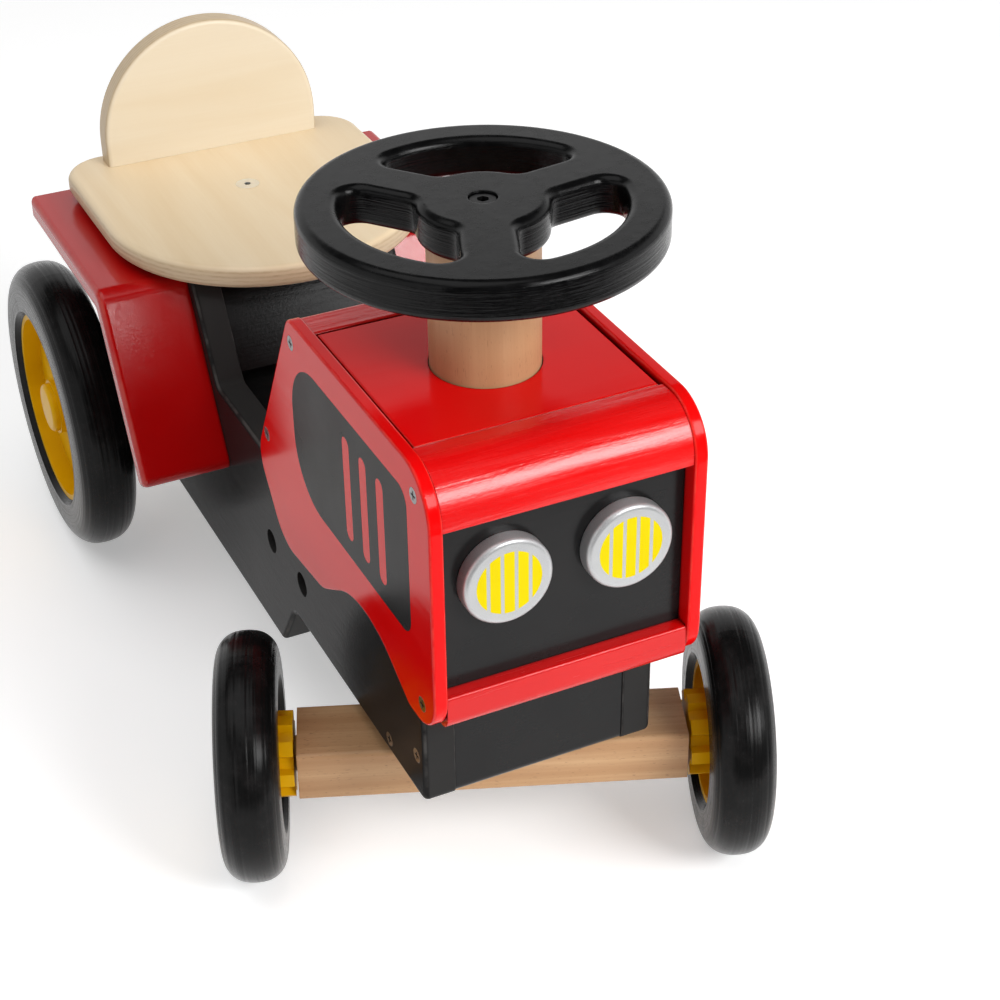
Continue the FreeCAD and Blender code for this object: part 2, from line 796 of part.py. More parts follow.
def hood_bars():
    """Rails and panels between the hood sides."""
    front, bottom = size.rail_inset, rail_top - size.front_rail_height
    rail = [
        (front, bottom, None),
        (size.front_rail_depth, bottom, None),
        (size.front_rail_depth, rail_top, size.top_panel_round),
        (front, rail_top, size.front_rail_height - size.front_rail_lip),
    ]
    hood_rail("hood_front_rail", rail, front_rail_screw)
    lid_top = rail_top - size.top_panel_drop
    lid_bottom, shoulder = lid_top - size.top_panel_thick, lid_top - size.top_panel_groove_depth
    lid_front, lid_rear = size.front_rail_depth + size.top_panel_groove, top_panel_rear - size.top_panel_groove
    lid = [
        (size.front_rail_depth, lid_bottom, None),
        (top_panel_rear, lid_bottom, None),
        (top_panel_rear, shoulder, None),
        (lid_rear, shoulder, None),
        (lid_rear, lid_top, None),
        (lid_front, lid_top, None),
        (lid_front, shoulder, None),
        (size.front_rail_depth, shoulder, None),
    ]
    body = hood_rail("hood_top_panel", lid, None, outer_half - size.top_panel_gap)
    dress(body, "Fillet", edges_where(body, rim_test(2, lid_top)), size.top_panel_round)
    drill(body, "XY_Plane", [(0, size.steer_along)], size.column_radius + size.column_gap)
    rear_bottom = rail_top - size.rear_rail_height
    rear = [
        (top_panel_rear, rear_bottom, None),
        (tail_edge(rear_bottom), rear_bottom, None),
        (tail_edge(rail_top), rail_top, size.rear_rail_round),
        (top_panel_rear, rail_top, size.top_panel_round),
    ]
    hood_rail("hood_rear_rail", rear, rear_rail_screw)
    panel = [
        (tail_edge(back_rail_top) - size.back_panel_thick, back_rail_top, None),
        (tail_edge(back_rail_top), back_rail_top, None),
        (tail_edge(rear_bottom), rear_bottom, None),
        (tail_edge(rear_bottom) - size.back_panel_thick, rear_bottom, None),
    ]
    hood_rail("hood_back_panel", panel, None)
    back_rail_front = tail_edge(back_rail_top) - size.back_rail_depth
    back = [
        (back_rail_front, back_rail_bottom, None),
        (tail_edge(back_rail_bottom), back_rail_bottom, size.panel_edge_round),
        (tail_edge(back_rail_top), back_rail_top, None),
        (back_rail_front, back_rail_top, None),
    ]
    hood_rail("hood_back_rail", back, back_rail_screw)
    low = [
        (size.rail_inset, low_rail_bottom, size.low_rail_round),
        (size.low_rail_depth, low_rail_bottom, None),
        (size.low_rail_depth, low_rail_top, None),
        (size.rail_inset, low_rail_top, size.panel_edge_round),
    ]
    hood_rail("hood_low_rail", low, low_rail_screw)
    grille = box_corners(size.grille_setback, grille_back, low_rail_top, bottom)
    lamps = [(size.headlight_spread * side, headlight_up) for side in SIDES]
    body = hood_rail("grille_panel", grille, None)
    drill(body, "XZ_Plane", lamps, screw_bore)
    countersink(body, 1, grille_back, screw_bore, screw_bevel)


def headlight(side):
    """A painted wooden disc on the grille."""
    body = new_body(f"headlight_{SIDES[side]}")
    place = (size.headlight_spread * side, headlight_up)
    sketch = new_sketch(body, "XZ_Plane", -size.grille_setback)
    circle(sketch, place, size.headlight_radius)
    pad(body, sketch, size.headlight_thick)
    face = size.grille_setback - size.headlight_thick
    dress(body, "Fillet", edges_where(body, rim_test(1, face, False)), size.headlight_round)
    depth = size.headlight_screw_bite + size.end_play
    drill(body, "XZ_Plane", [place], screw_bore, -size.grille_setback, depth, True)
    return on_chassis(body)


# Seat

def seat_plate():
    """The seat: half round in front, straight sides, rounded rear corners."""
    body = new_body("seat_plate")
    sketch = new_sketch(body, "XY_Plane", seat_bottom)
    half, middle = size.seat_radius, seat_centre
    wire(sketch, [
        ((-half, middle), ((0, middle), 1)),
        ((half, middle), None),
        ((half, seat_rear), None),
        ((-half, seat_rear), None),
    ])
    pad(body, sketch, size.seat_thick)
    rear = [(half * side, seat_rear) for side in SIDES]
    dress(body, "Fillet", edges_where(body, corner_test("XY_Plane", rear)), size.seat_corner)
    for level in (seat_bottom, seat_top):
        dress(body, "Fillet", edges_where(body, rim_test(2, level)), size.seat_round)
    bolt = [(0, seat_bolt_along)]
    drill(body, "XY_Plane", bolt, size.seat_bolt_radius + size.screw_fit)
    head = size.seat_bolt_head_radius + size.screw_fit
    drill(body, "XY_Plane", bolt, head, seat_top, size.seat_bolt_head_height)
    drill(body, "XY_Plane", back_screw_places, screw_bore)
    countersink(body, 2, seat_bottom, screw_bore, screw_bevel)
    return on_chassis(body)


back_screw_places = [(size.back_screw_offset * side, (back_front + back_rear) / 2) for side in SIDES]


def seat_back():
    """The half-round backrest that stands on the seat."""
    body = new_body("seat_back")
    sketch = new_sketch(body, "XZ_Plane", -back_rear)
    half, shoulder = size.back_radius, seat_top + size.back_foot
    wire(sketch, [
        ((-half, seat_top), None),
        ((half, seat_top), None),
        ((half, shoulder), ((0, shoulder), 1)),
        ((-half, shoulder), None),
    ])
    pad(body, sketch, size.back_thick)
    for level in (back_front, back_rear):
        lowest = seat_top.number + SAME_PLACE
        face = rim_test(1, level)
        edges = edges_where(body, lambda edge: face(edge) and edge.CenterOfMass.z > lowest)
        dress(body, "Fillet", edges, size.back_round)
    depth = size.board_screw_bite + size.end_play
    drill(body, "XY_Plane", back_screw_places, screw_bore, seat_top, depth, True)
    return on_chassis(body)


def hexagon(sketch, place, radius):
    """A six-sided socket round a place."""
    corners = []
    for step in range(HEX_COUNT):
        angle = 2 * math.pi * (step + 0.5) / HEX_COUNT
        corners.append((radius * math.cos(angle), as_size(place) + radius * math.sin(angle)))
    polygon(sketch, corners)


def socket_bolt(label, along, seat, head_radius, head_height, radius, length, socket, socket_depth):
    """An upright bolt whose head rests on a seat, with a six-sided socket."""
    body = new_body(label)
    sketch = new_sketch(body, "XY_Plane", seat - length)
    circle(sketch, (0, along), radius)
    pad(body, sketch, length)
    sketch = new_sketch(body, "XY_Plane", seat)
    circle(sketch, (0, along), head_radius)
    pad(body, sketch, head_height)
    sketch = new_sketch(body, "XY_Plane", seat + head_height)
    hexagon(sketch, along, socket)
    pocket(body, sketch, socket_depth)
    return body


def upright_ring(label, along, bottom, outer, inner, height):
    """A ring or sleeve that stands upright."""
    body = new_body(label)
    sketch = new_sketch(body, "XY_Plane", bottom)
    circle(sketch, (0, along), outer)
    circle(sketch, (0, along), inner)
    pad(body, sketch, height)
    return body


def seat_fasteners():
    bolt_seat = seat_top - size.seat_bolt_head_height
    on_chassis(socket_bolt("seat_bolt", seat_bolt_along, bolt_seat, size.seat_bolt_head_radius,
                           size.seat_bolt_head_height, size.seat_bolt_radius, size.seat_bolt_length,
                           size.seat_bolt_socket, size.seat_bolt_socket_depth))
    on_chassis(upright_ring("seat_insert", seat_bolt_along, seat_bottom - size.seat_insert_length,
                            size.seat_bolt_radius + size.insert_wall,
                            size.seat_bolt_radius + size.screw_fit, size.seat_insert_length))


# Mudguards

def mudguard(side):
    """A bent guard beside the seat: a leaning front and a level top over the rear wheel."""
    inner_level = guard_top - size.guard_thick
    inner_foot = (guard_foot_along + guard_shift, guard_foot_up - guard_drop)
    inner_bend = inner_foot[0] + (inner_level - inner_foot[1]) / guard_rise
    corners = [
        (guard_foot_along, guard_foot_up, size.guard_foot_round),
        (inner_foot[0], inner_foot[1], size.guard_foot_round),
        (inner_bend, inner_level, size.guard_edge_round),
        (guard_rear, inner_level, None),
        (guard_rear, guard_top, None),
        (guard_bend_along, guard_top, size.guard_bend_round),
    ]
    outer = outer_half + size.guard_width
    start = outer_half if side == LEFT else -outer
    body = board(f"mudguard_{SIDES[side]}", "YZ_Plane", start, size.guard_width, corners)
    dress(body, "Fillet", edges_where(body, rim_test(0, outer * side)), size.guard_edge_round)
    depth = size.board_screw_bite + size.end_play
    drill(body, "YZ_Plane", guard_screws, screw_bore, outer_half * side, depth, side == LEFT)
    return on_chassis(body)


# Steering

def steering_wheel():
    """A plywood wheel with three spokes, its edges rounded over."""
    body = new_body("steering_wheel")
    sketch = new_sketch(body, "XY_Plane", steering_bottom)
    circle(sketch, (0, 0), size.steering_radius)
    pad(body, sketch, size.steering_thick)
    inside = size.steering_radius - size.steering_rim_width
    hub, half = size.steering_hub_radius, size.spoke_width / 2
    lean = math.pi / 2 - math.pi / SPOKE_COUNT
    across, rise = math.cos(lean), math.sin(lean)
    near, far = root(hub * hub - half * half), root(inside * inside - half * half)
    low = (near * across - half * rise, near * rise + half * across)
    high = (far * across - half * rise, far * rise + half * across)
    sketch = new_sketch(body, "XY_Plane", steering_top)
    wire(sketch, [
        (low, None),
        (high, ((0, 0), 1)),
        ((-high[0], high[1]), None),
        ((-low[0], low[1]), ((0, 0), -1)),
    ])
    opening = pocket(body, sketch, size.steering_thick)
    around = body.newObject("PartDesign::PolarPattern", "steering_wheel_openings")
    around.Originals = [opening]
    around.Axis = (sketch, ["N_Axis"])
    around.Angle = 360
    around.Occurrences = SPOKE_COUNT
    body.Tip = around
    doc.recompute()

    def upright(edge):
        points = [vertex.Point for vertex in edge.Vertexes]
        return len(points) == 2 and points[0].sub(points[1]).cross(UP).Length < SAME_PLACE and \
            math.hypot(points[0].x, points[0].y) < size.steering_radius.number - SAME_PLACE

    dress(body, "Fillet", edges_where(body, upright), size.opening_corner)
    for level in (steering_bottom, steering_top):
        dress(body, "Fillet", edges_where(body, rim_test(2, level, False)), size.steering_round)
    drill(body, "XY_Plane", [(0, 0)], size.wheel_bolt_radius + size.screw_fit)
    drill(body, "XY_Plane", [(0, 0)], size.wheel_bolt_recess_radius, steering_top, size.wheel_bolt_recess)
    dowels = [(size.dowel_offset * side, 0) for side in SIDES]
    drill(body, "XY_Plane", dowels, dowel_bore, steering_bottom, size.dowel_length / 2, True)
    return on_steering(body)


def steering_column():
    """The round column, from the axle beam up to the steering wheel."""
    body = new_body("steering_column")
    sketch = new_sketch(body, "XY_Plane", beam_top)
    circle(sketch, (0, 0), size.column_radius)
    pad(body, sketch, steering_bottom - beam_top)
    insert = size.wheel_bolt_radius + size.insert_wall + size.screw_fit
    bolt_depth = size.wheel_bolt_length - (size.steering_thick - size.wheel_bolt_recess) + size.end_play
    drill(body, "XY_Plane", [(0, 0)], size.wheel_bolt_radius + size.screw_fit, steering_bottom, bolt_depth)
    drill(body, "XY_Plane", [(0, 0)], insert, steering_bottom, size.insert_length)
    dowels = [(size.dowel_offset * side, 0) for side in SIDES]
    drill(body, "XY_Plane", dowels, dowel_bore, steering_bottom, size.dowel_length / 2)
    bolts = [(0, beam_bolt_offset * side) for side in SIDES]
    depth = beam_bottom + size.beam_bolt_recess + size.beam_bolt_length - beam_top + size.end_play
    drill(body, "XY_Plane", bolts, size.beam_bolt_radius + size.screw_fit, beam_top, depth, True)
    return on_steering(body)


def steering_fasteners():
    """The wheel's bolt, its threaded insert and the two dowels."""
    seat = steering_top - size.wheel_bolt_recess
    on_steering(socket_bolt("steering_wheel_bolt", as_size(0), seat, size.wheel_bolt_head_radius,
                            size.wheel_bolt_head_height, size.wheel_bolt_radius, size.wheel_bolt_length,
                            size.wheel_bolt_socket, size.wheel_bolt_socket_depth))
    on_steering(upright_ring("column_insert", 0, steering_bottom - size.insert_length,
                             size.wheel_bolt_radius + size.insert_wall,
                             size.wheel_bolt_radius + size.screw_fit, size.insert_length))
    body = new_body("steering_dowels")
    sketch = new_sketch(body, "XY_Plane", steering_bottom - size.dowel_length / 2)
    for side in SIDES:
        circle(sketch, (size.dowel_offset * side, 0), size.dowel_radius)
    pad(body, sketch, size.dowel_length)
    on_steering(body)


def axle_beam():
    """The beech beam under the chassis, bored lengthwise for the front axle."""
    body = new_body("front_axle_beam")
    half_length, half_depth = size.beam_length / 2, size.beam_depth / 2
    sketch = new_sketch(body, "YZ_Plane", -half_length)
    corners = [(half_depth * a, size.front_wheel_radius + size.beam_height / 2 * b)
               for a, b in ((-1, -1), (1, -1), (1, 1), (-1, 1))]
    polygon(sketch, corners)
    pad(body, sketch, size.beam_length)
    dress(body, "Fillet", edges_where(body, corner_test("YZ_Plane", corners)), size.beam_round)
    drill(body, "YZ_Plane", [(0, size.front_wheel_radius)], axle_bore)
    bolts = [(0, beam_bolt_offset * side) for side in SIDES]
    drill(body, "XY_Plane", bolts, size.beam_bolt_radius + size.screw_fit)
    head = size.beam_bolt_head_radius + size.screw_fit
    drill(body, "XY_Plane", bolts, head, beam_bottom, size.beam_bolt_recess, True)
    return on_steering(body)


def beam_bolts():
    """Two bolts that hold the beam to the foot of the column."""
    body = new_body("beam_bolts")
    seat = beam_bottom + size.beam_bolt_recess
    for start, radius, length in (
        (seat - size.beam_bolt_head_height, size.beam_bolt_head_radius, size.beam_bolt_head_height),
        (seat, size.beam_bolt_radius, size.beam_bolt_length),
    ):
        sketch = new_sketch(body, "XY_Plane", start)
        for side in SIDES:
            circle(sketch, (0, beam_bolt_offset * side), radius)
        pad(body, sketch, length)
    return on_steering(body)


def thrust_ring():
    """The wooden ring that carries the chassis on the beam."""
    body = upright_ring("thrust_ring", 0, beam_top, size.thrust_ring_radius, column_bore,
                        size.thrust_ring_height)
    return on_steering(body)


# Axles and wheels

def axle(label, half_length, along, up):
    """A steel rod across the tractor."""
    body = new_body(label)
    sketch = new_sketch(body, "YZ_Plane")
    circle(sketch, (along, up), size.axle_radius)
    pad(body, sketch, half_length * 2, True)
    return body


def axle_rings(label, radius, inside, start, length, along, up):
    """A pair of rings on an axle, one at each side."""
    body = new_body(label)
    for side in SIDES:
        level = start if side == LEFT else -(start + length)
        sketch = new_sketch(body, "YZ_Plane", level)
        circle(sketch, (along, up), radius)
        circle(sketch, (along, up), inside)
        pad(body, sketch, length)
    return body


def axle_set(name, stand, across, rest, spacer_length, along, up):
    """An axle with its spacers and clips: rest is where the spacers bear, across the wheel's middle."""
    bore = axle_bore
    stand(axle(f"{name}_axle", across + axle_past_wheel, along, up))
    stand(axle_rings(f"{name}_spacers", size.spacer_radius, bore, rest, spacer_length, along, up))
    stand(axle_rings(f"{name}_axle_clips", size.clip_radius, bore, across + clip_seat,
                     size.clip_thick, along, up))


def tyre(label, section, rim):
    """A rubber tyre: flat sidewalls, round shoulders and a gently arched tread."""
    body = new_body(label)
    sketch = new_sketch(body, "XZ_Plane")
    lip = rim + size.tyre_lip_height
    half, inset, crown_up, shoulder_up = section.half, section.inset, section.crown_up, section.shoulder_up
    meet_across, meet_up = section.meet_across, section.meet_up
    seat_half = half - size.rim_inset
    wire(sketch, [
        ((-seat_half, rim), None),
        ((seat_half, rim), None),
        ((half, lip), None),
        ((half, shoulder_up), ((inset, shoulder_up), 1)),
        ((meet_across, meet_up), ((0, crown_up), 1)),
        ((-meet_across, meet_up), ((-inset, shoulder_up), 1)),
        ((-half, shoulder_up), None),
        ((-half, lip), None),
    ])
    revolve(body, sketch)
    return body


def hub(label, side, half_width, rim):
    """A plastic hub: rim, web and boss, with teeth round the inner end of the boss."""
    body = new_body(label)
    sketch = new_sketch(body, "XZ_Plane")
    outward = as_size(side)
    edge = (half_width - size.rim_inset) * outward
    web = size.web_thick / 2 * outward
    front, back = size.boss_front * outward, -(size.boss_reach * outward)
    floor = (size.boss_front - size.clip_pocket_depth) * outward
    polygon(sketch, [
        (back, axle_bore),
        (floor, axle_bore),
        (floor, size.clip_pocket_radius),
        (front, size.clip_pocket_radius),
        (front, size.boss_radius),
        (web, size.boss_radius),
        (web, rim - size.rim_wall),
        (edge, rim - size.rim_wall),
        (edge, rim),
        (-edge, rim),
        (-edge, rim - size.rim_wall),
        (-web, rim - size.rim_wall),
        (-web, size.boss_radius),
        (back, size.boss_radius),
    ])
    revolve(body, sketch)
    sketch = new_sketch(body, "YZ_Plane", back)
    half = size.boss_tooth_width / 2
    tip = size.boss_radius + size.boss_tooth_height
    polygon(sketch, [
        (-half, size.boss_radius - size.boss_tooth_height),
        (half, size.boss_radius - size.boss_tooth_height),
        (half, tip),
        (-half, tip),
    ])
    tooth = pad(body, sketch, size.boss_reach - size.web_thick / 2)
    tooth.Reversed = side == RIGHT
    around = body.newObject("PartDesign::PolarPattern", f"{body.Name}_teeth")
    around.Originals = [tooth]
    around.Axis = (sketch, ["N_Axis"])
    around.Angle = 360
    around.Occurrences = TOOTH_COUNT
    body.Tip = around
    doc.recompute()
    return body


def hub_cap(label, side):
    """A domed cap plugged into the outer end of the boss."""
    body = new_body(label)
    sketch = new_sketch(body, "XZ_Plane")
    outward = as_size(side)
    seat = size.boss_front * outward
    spigot = size.clip_pocket_radius - size.screw_fit
    polygon(sketch, [
        (seat - size.cap_spigot * outward, 0),
        (seat + size.cap_height * outward, 0),
        (seat + size.cap_height * outward, size.cap_radius),
        (seat, size.cap_radius),
        (seat, spigot),
        (seat - size.cap_spigot * outward, spigot),
    ])
    revolve(body, sketch)
    crown = edges_where(body, rim_test(0, seat + size.cap_height * outward, False))
    dress(body, "Fillet", crown, size.cap_round)
    return body


def wheel(end, side, stand, section, rim):
    """The three pieces of one wheel, in their places on the axle."""
    name = f"{end}_{{}}_{SIDES[side]}"
    stand(tyre(name.format("tyre"), section, rim))
    stand(hub(name.format("hub"), side, section.half, rim))
    stand(hub_cap(name.format("hub_cap"), side))


def wheels():
    """All four wheels: the front pair on the turned beam, the rear pair on the chassis."""
    for side in SIDES:
        def stand_front(body, reach=front_wheel_across * side):
            set_place(body, reach * turn_cosine, size.steer_along - middle_along + reach * turn_sine,
                      size.front_wheel_radius, size.steer_angle)

        def stand_rear(body, reach=rear_wheel_across * side):
            set_place(body, reach, rear_axle_along - middle_along, rear_wheel_radius)

        wheel("front", side, stand_front, front_section, front_rim)
        wheel("rear", side, stand_rear, rear_section, rear_rim)


# Wood screws, in groups

def screw_shape(length):
    """A countersunk cross-head screw, its head's face at the origin and its shank along -z."""
    head, shank = size.screw_head_radius.number, size.screw_shank_radius.number
    cone = Part.makeCone(shank, head, head - shank, FreeCAD.Vector(0, 0, shank - head))
    rod = Part.makeCylinder(shank, length.number, FreeCAD.Vector(0, 0, -length.number))
    wide, long = size.screw_slot_width.number, size.screw_slot_length.number
    deep = size.screw_slot_depth.number
    shape = cone.fuse(rod)
    for first, second in ((wide, long), (long, wide)):
        slot = Part.makeBox(first, second, deep, FreeCAD.Vector(-first / 2, -second / 2, -deep))
        shape = shape.cut(slot)
    return shape.removeSplitter()


def screw_group(label, length, heads):
    """Screws of one length as separate solids: each head is (across, along, up) and the way out."""
    master = screw_shape(length)
    solids = []
    for place, way_out in heads:
        spin = FreeCAD.Rotation(UP, FreeCAD.Vector(*way_out))
        point = FreeCAD.Vector(*[as_size(value).number for value in place])
        copy = master.copy()
        copy.Placement = FreeCAD.Placement(point, spin)
        solids.append(copy)
    group = doc.addObject("Part::Feature", label)
    group.Label = label
    group.Shape = Part.makeCompound(solids)
    group.Placement = FreeCAD.Placement(FreeCAD.Vector(), FreeCAD.Rotation())
    pieces.append(group)
    return on_chassis(group)


def both_sides(places, level, outward=1):
    """Heads at the same places on both sides, facing out of the tractor or into it."""
    return [((level * side, *place), (side * outward, 0, 0)) for side in SIDES for place in places]


def screws():
    panel_length = size.panel_thick + size.panel_screw_bite
    board_length = size.board_thick + size.board_screw_bite
    fixing_length = size.board_thick + size.fixing_screw_bite
    screw_group("hood_screws", panel_length, both_sides(hood_screws, hood_half))
    screw_group("chassis_screws", board_length, both_sides(plate_screws, outer_half))
    screw_group("mudguard_screws", board_length, both_sides(guard_screws, inner_half, -1))
    screw_group("hood_fixing_screws", fixing_length, both_sides(fixing_screws, inner_half, -1))
    lamps = [((size.headlight_spread * side, grille_back, headlight_up), (0, 1, 0)) for side in SIDES]
    screw_group("headlight_screws", size.grille_thick + size.headlight_screw_bite, lamps)
    backs = [((*place, seat_bottom), (0, 0, -1)) for place in back_screw_places]
    screw_group("seat_back_screws", size.seat_thick + size.board_screw_bite, backs)


def build():
    for side in SIDES:
        chassis_side(side)
        hood_side(side)
        headlight(side)
        mudguard(side)
    chassis_boards()
    rear_axle_block()
    hood_bars()
    seat_plate()
    seat_back()
    seat_fasteners()
    steering_wheel()
    steering_column()
    steering_fasteners()
    axle_beam()
    beam_bolts()
    thrust_ring()
    axle_set("front", on_steering, front_wheel_across, size.beam_length / 2, size.front_spacer_length,
             0, size.front_wheel_radius)
    axle_set("rear", on_chassis, rear_wheel_across, outer_half, size.rear_spacer_length,
             rear_axle_along, rear_wheel_radius)
    wheels()
    screws()
    doc.recompute()


def write_out():
    """Check every object and shape, then write one file for each piece."""
    for item in doc.Objects:
        if {"Invalid", "Error"} & set(item.State):
            raise RuntimeError(f"{item.Name} failed: {item.State}")
    for piece in pieces:
        shape = piece.Shape
        if shape.isNull() or not shape.isValid() or not shape.Solids:
            raise RuntimeError(f"{piece.Label} has no valid solid")
    os.makedirs("parts", exist_ok=True)
    for piece in pieces:
        piece.Shape.exportStep(f"parts/{piece.Label}.step")


build()
write_out()
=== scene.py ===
"""Looks of the wooden ride-on tractor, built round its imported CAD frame."""
import json
import math

import bpy
from mathutils import Matrix, Vector

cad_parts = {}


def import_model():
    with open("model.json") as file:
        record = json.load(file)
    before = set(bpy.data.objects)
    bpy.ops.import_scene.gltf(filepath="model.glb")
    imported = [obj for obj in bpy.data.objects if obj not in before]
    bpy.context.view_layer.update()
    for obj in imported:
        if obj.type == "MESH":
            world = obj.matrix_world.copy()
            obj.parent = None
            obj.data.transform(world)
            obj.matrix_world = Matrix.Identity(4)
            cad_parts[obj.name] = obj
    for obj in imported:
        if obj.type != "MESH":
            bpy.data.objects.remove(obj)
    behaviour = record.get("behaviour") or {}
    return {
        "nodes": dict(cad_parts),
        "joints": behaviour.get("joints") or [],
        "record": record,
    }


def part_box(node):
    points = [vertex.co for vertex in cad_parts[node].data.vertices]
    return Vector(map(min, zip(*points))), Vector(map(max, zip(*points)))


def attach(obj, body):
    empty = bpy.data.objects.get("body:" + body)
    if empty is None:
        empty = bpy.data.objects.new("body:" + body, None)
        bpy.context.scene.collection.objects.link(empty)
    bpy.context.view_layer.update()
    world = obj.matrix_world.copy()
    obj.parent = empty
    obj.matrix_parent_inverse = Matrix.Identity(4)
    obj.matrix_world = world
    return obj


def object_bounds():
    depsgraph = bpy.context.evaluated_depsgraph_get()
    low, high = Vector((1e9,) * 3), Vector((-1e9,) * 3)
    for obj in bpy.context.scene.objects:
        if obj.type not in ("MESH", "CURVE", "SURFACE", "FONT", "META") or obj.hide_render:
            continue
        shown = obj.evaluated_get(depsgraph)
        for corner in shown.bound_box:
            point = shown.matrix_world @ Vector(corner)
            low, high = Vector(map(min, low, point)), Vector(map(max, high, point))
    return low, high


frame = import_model()
cad_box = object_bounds()

MM = 0.001
X, Y, Z = range(3)  # across, along and up; the tractor faces -Y
NODES = frame["nodes"]
SIDES = {"right": -1, "left": 1}
ENDS = ("front", "rear")


# Nodes of a material

NOISE_LOW, NOISE_HIGH = 0.3, 0.7  # most of a noise lies between these
RIM_ENDS, FACE_STARTS = (0.25, 0.5), (0.75, 0.92)  # how far a face of a worn board looks along its thickness
WEAR_SCALE, WEAR_PATCHES = 70.0, (0.38, 0.6)
# openness at which the painted crevice shade begins and ends
CREVICE_SHADE_OPENNESS = (0.36, 0.82)
RAY_SAMPLES = 4  # of the nodes that feel for edges and crevices
MIX_SHARE, MIX_FIRST, MIX_SECOND, MIX_RESULT = 0, 6, 7, 2  # sockets of a mix of two colours


class Shader:
    """A material built node by node round one principled shader."""

    def __init__(self, name, **sockets):
        self.material = bpy.data.materials.new(name)
        self.material.use_nodes = True
        self.tree = self.material.node_tree
        self.tree.nodes.clear()
        self.bsdf = self.add("ShaderNodeBsdfPrincipled")
        self.output = self.add("ShaderNodeOutputMaterial")
        self.link(self.bsdf.outputs["BSDF"], self.output.inputs["Surface"])
        self.place = self.add("ShaderNodeTexCoord").outputs["Object"]
        for socket, value in sockets.items():
            self.bsdf.inputs[socket].default_value = value

    def add(self, kind, **settings):
        node = self.tree.nodes.new(kind)
        for name, value in settings.items():
            setattr(node, name, value)
        return node

    def link(self, value, socket):
        """Link an output to a socket, or set the socket to a plain value."""
        if isinstance(value, bpy.types.NodeSocket):
            self.tree.links.new(value, socket)
        elif value is not None:
            socket.default_value = value

    def sums(self, kind, first, second=None):
        node = self.add("ShaderNodeMath", operation=kind)
        self.link(first, node.inputs[0])
        self.link(second, node.inputs[1])
        return node.outputs[0]

    def times(self, first, second):
        return self.sums("MULTIPLY", first, second)

    def length(self, first, second):
        """Length of a vector in a plane, from its two parts."""
        squares = self.sums("ADD", self.times(first, first), self.times(second, second))
        return self.sums("SQRT", squares)

    def vector(self, kind, first, second):
        node = self.add("ShaderNodeVectorMath", operation=kind)
        self.link(first, node.inputs[0])
        self.link(second, node.inputs[1])
        return node.outputs["Vector"]

    def parts(self, vector):
        node = self.add("ShaderNodeSeparateXYZ")
        self.link(vector, node.inputs[0])
        return node.outputs

    def joined(self, *values):
        node = self.add("ShaderNodeCombineXYZ")
        for value, socket in zip(values, node.inputs):
            self.link(value, socket)
        return node.outputs[0]

    def turned(self, vector, centre, angle):
        """The vector seen in a frame that stands at the centre, turned about the upright axis."""
        node = self.add("ShaderNodeVectorRotate", rotation_type="Z_AXIS")
        self.link(vector, node.inputs["Vector"])
        self.link(centre, node.inputs["Center"])
        self.link(-angle, node.inputs["Angle"])
        return self.vector("SUBTRACT", node.outputs[0], centre)

    def noise(self, scale, vector=None, detail=3.0, roughness=0.55, distortion=0.0):
        """Noise from 0 to 1; a triple of scales stretches it along the axes."""
        vector = self.place if vector is None else vector
        if isinstance(scale, tuple):
            vector, scale = self.vector("MULTIPLY", vector, scale), 1.0
        node = self.add("ShaderNodeTexNoise")
        self.link(vector, node.inputs["Vector"])
        for name, value in (("Scale", scale), ("Detail", detail), ("Roughness", roughness),
                            ("Distortion", distortion)):
            node.inputs[name].default_value = value
        return node.outputs["Fac"]

    def span(self, value, low, high, start=0.0, end=1.0):
        """Map low..high of a value to start..end, held at the ends."""
        node = self.add("ShaderNodeMapRange", clamp=True)
        for name, number in (("Value", value), ("From Min", low), ("From Max", high), ("To Min", start),
                             ("To Max", end)):
            self.link(number, node.inputs[name])
        return node.outputs["Result"]

    def spread(self, noise, start=0.0, end=1.0):
        """A noise drawn out to start..end."""
        return self.span(noise, NOISE_LOW, NOISE_HIGH, start, end)

    def colour(self, share, first, second):
        node = self.add("ShaderNodeMix", data_type="RGBA")
        for socket, value in ((MIX_SHARE, share), (MIX_FIRST, first), (MIX_SECOND, second)):
            if isinstance(value, tuple):
                value = (*value, 1.0)
            self.link(value, node.inputs[socket])
        return node.outputs[MIX_RESULT]

    def facing(self, axis):
        """1 on faces that look along an axis, 0 on faces that lie along it."""
        normal = self.add("ShaderNodeNewGeometry").outputs["Normal"]
        return self.sums("ABSOLUTE", self.parts(normal)[axis])

    def soft_edges(self, radius):
        """Normals that round the sharp edges of the solid."""
        node = self.add("ShaderNodeBevel", samples=RAY_SAMPLES)
        node.inputs["Radius"].default_value = radius
        return node.outputs["Normal"]

    def worn_and_highlit_edges(self, thickness):
        """1 in patches along the rounded edges of a board, 0 on its faces and its rim: where edges are lightened,
        partly as wear and partly as a painted highlight.
        """
        facing = self.facing(thickness)
        edge = self.times(self.span(facing, *RIM_ENDS), self.span(facing, *FACE_STARTS, 1.0, 0.0))
        return self.times(edge, self.span(self.noise(WEAR_SCALE, detail=4.0), *WEAR_PATCHES))

    def crevice_shade(self, reach):
        """Painted shade: 1 in narrow seams and recesses, where ambient occlusion finds shade, 0 on open faces."""
        node = self.add("ShaderNodeAmbientOcclusion", samples=RAY_SAMPLES)
        node.inputs["Distance"].default_value = reach
        return self.span(node.outputs["AO"], *CREVICE_SHADE_OPENNESS, 1.0, 0.0)

    def bump(self, height, depth, normal=None):
        """Normals bent by a height of 0 to 1 that stands for a depth."""
        node = self.add("ShaderNodeBump")
        node.inputs["Strength"].default_value = 1.0
        node.inputs["Distance"].default_value = depth
        self.link(height, node.inputs["Height"])
        self.link(normal, node.inputs["Normal"])
        return node.outputs["Normal"]

    def finish(self, colour, roughness, normal):
        for name, value in (("Base Color", colour), ("Roughness", roughness), ("Normal", normal)):
            self.link(value, self.bsdf.inputs[name])
        return self.material


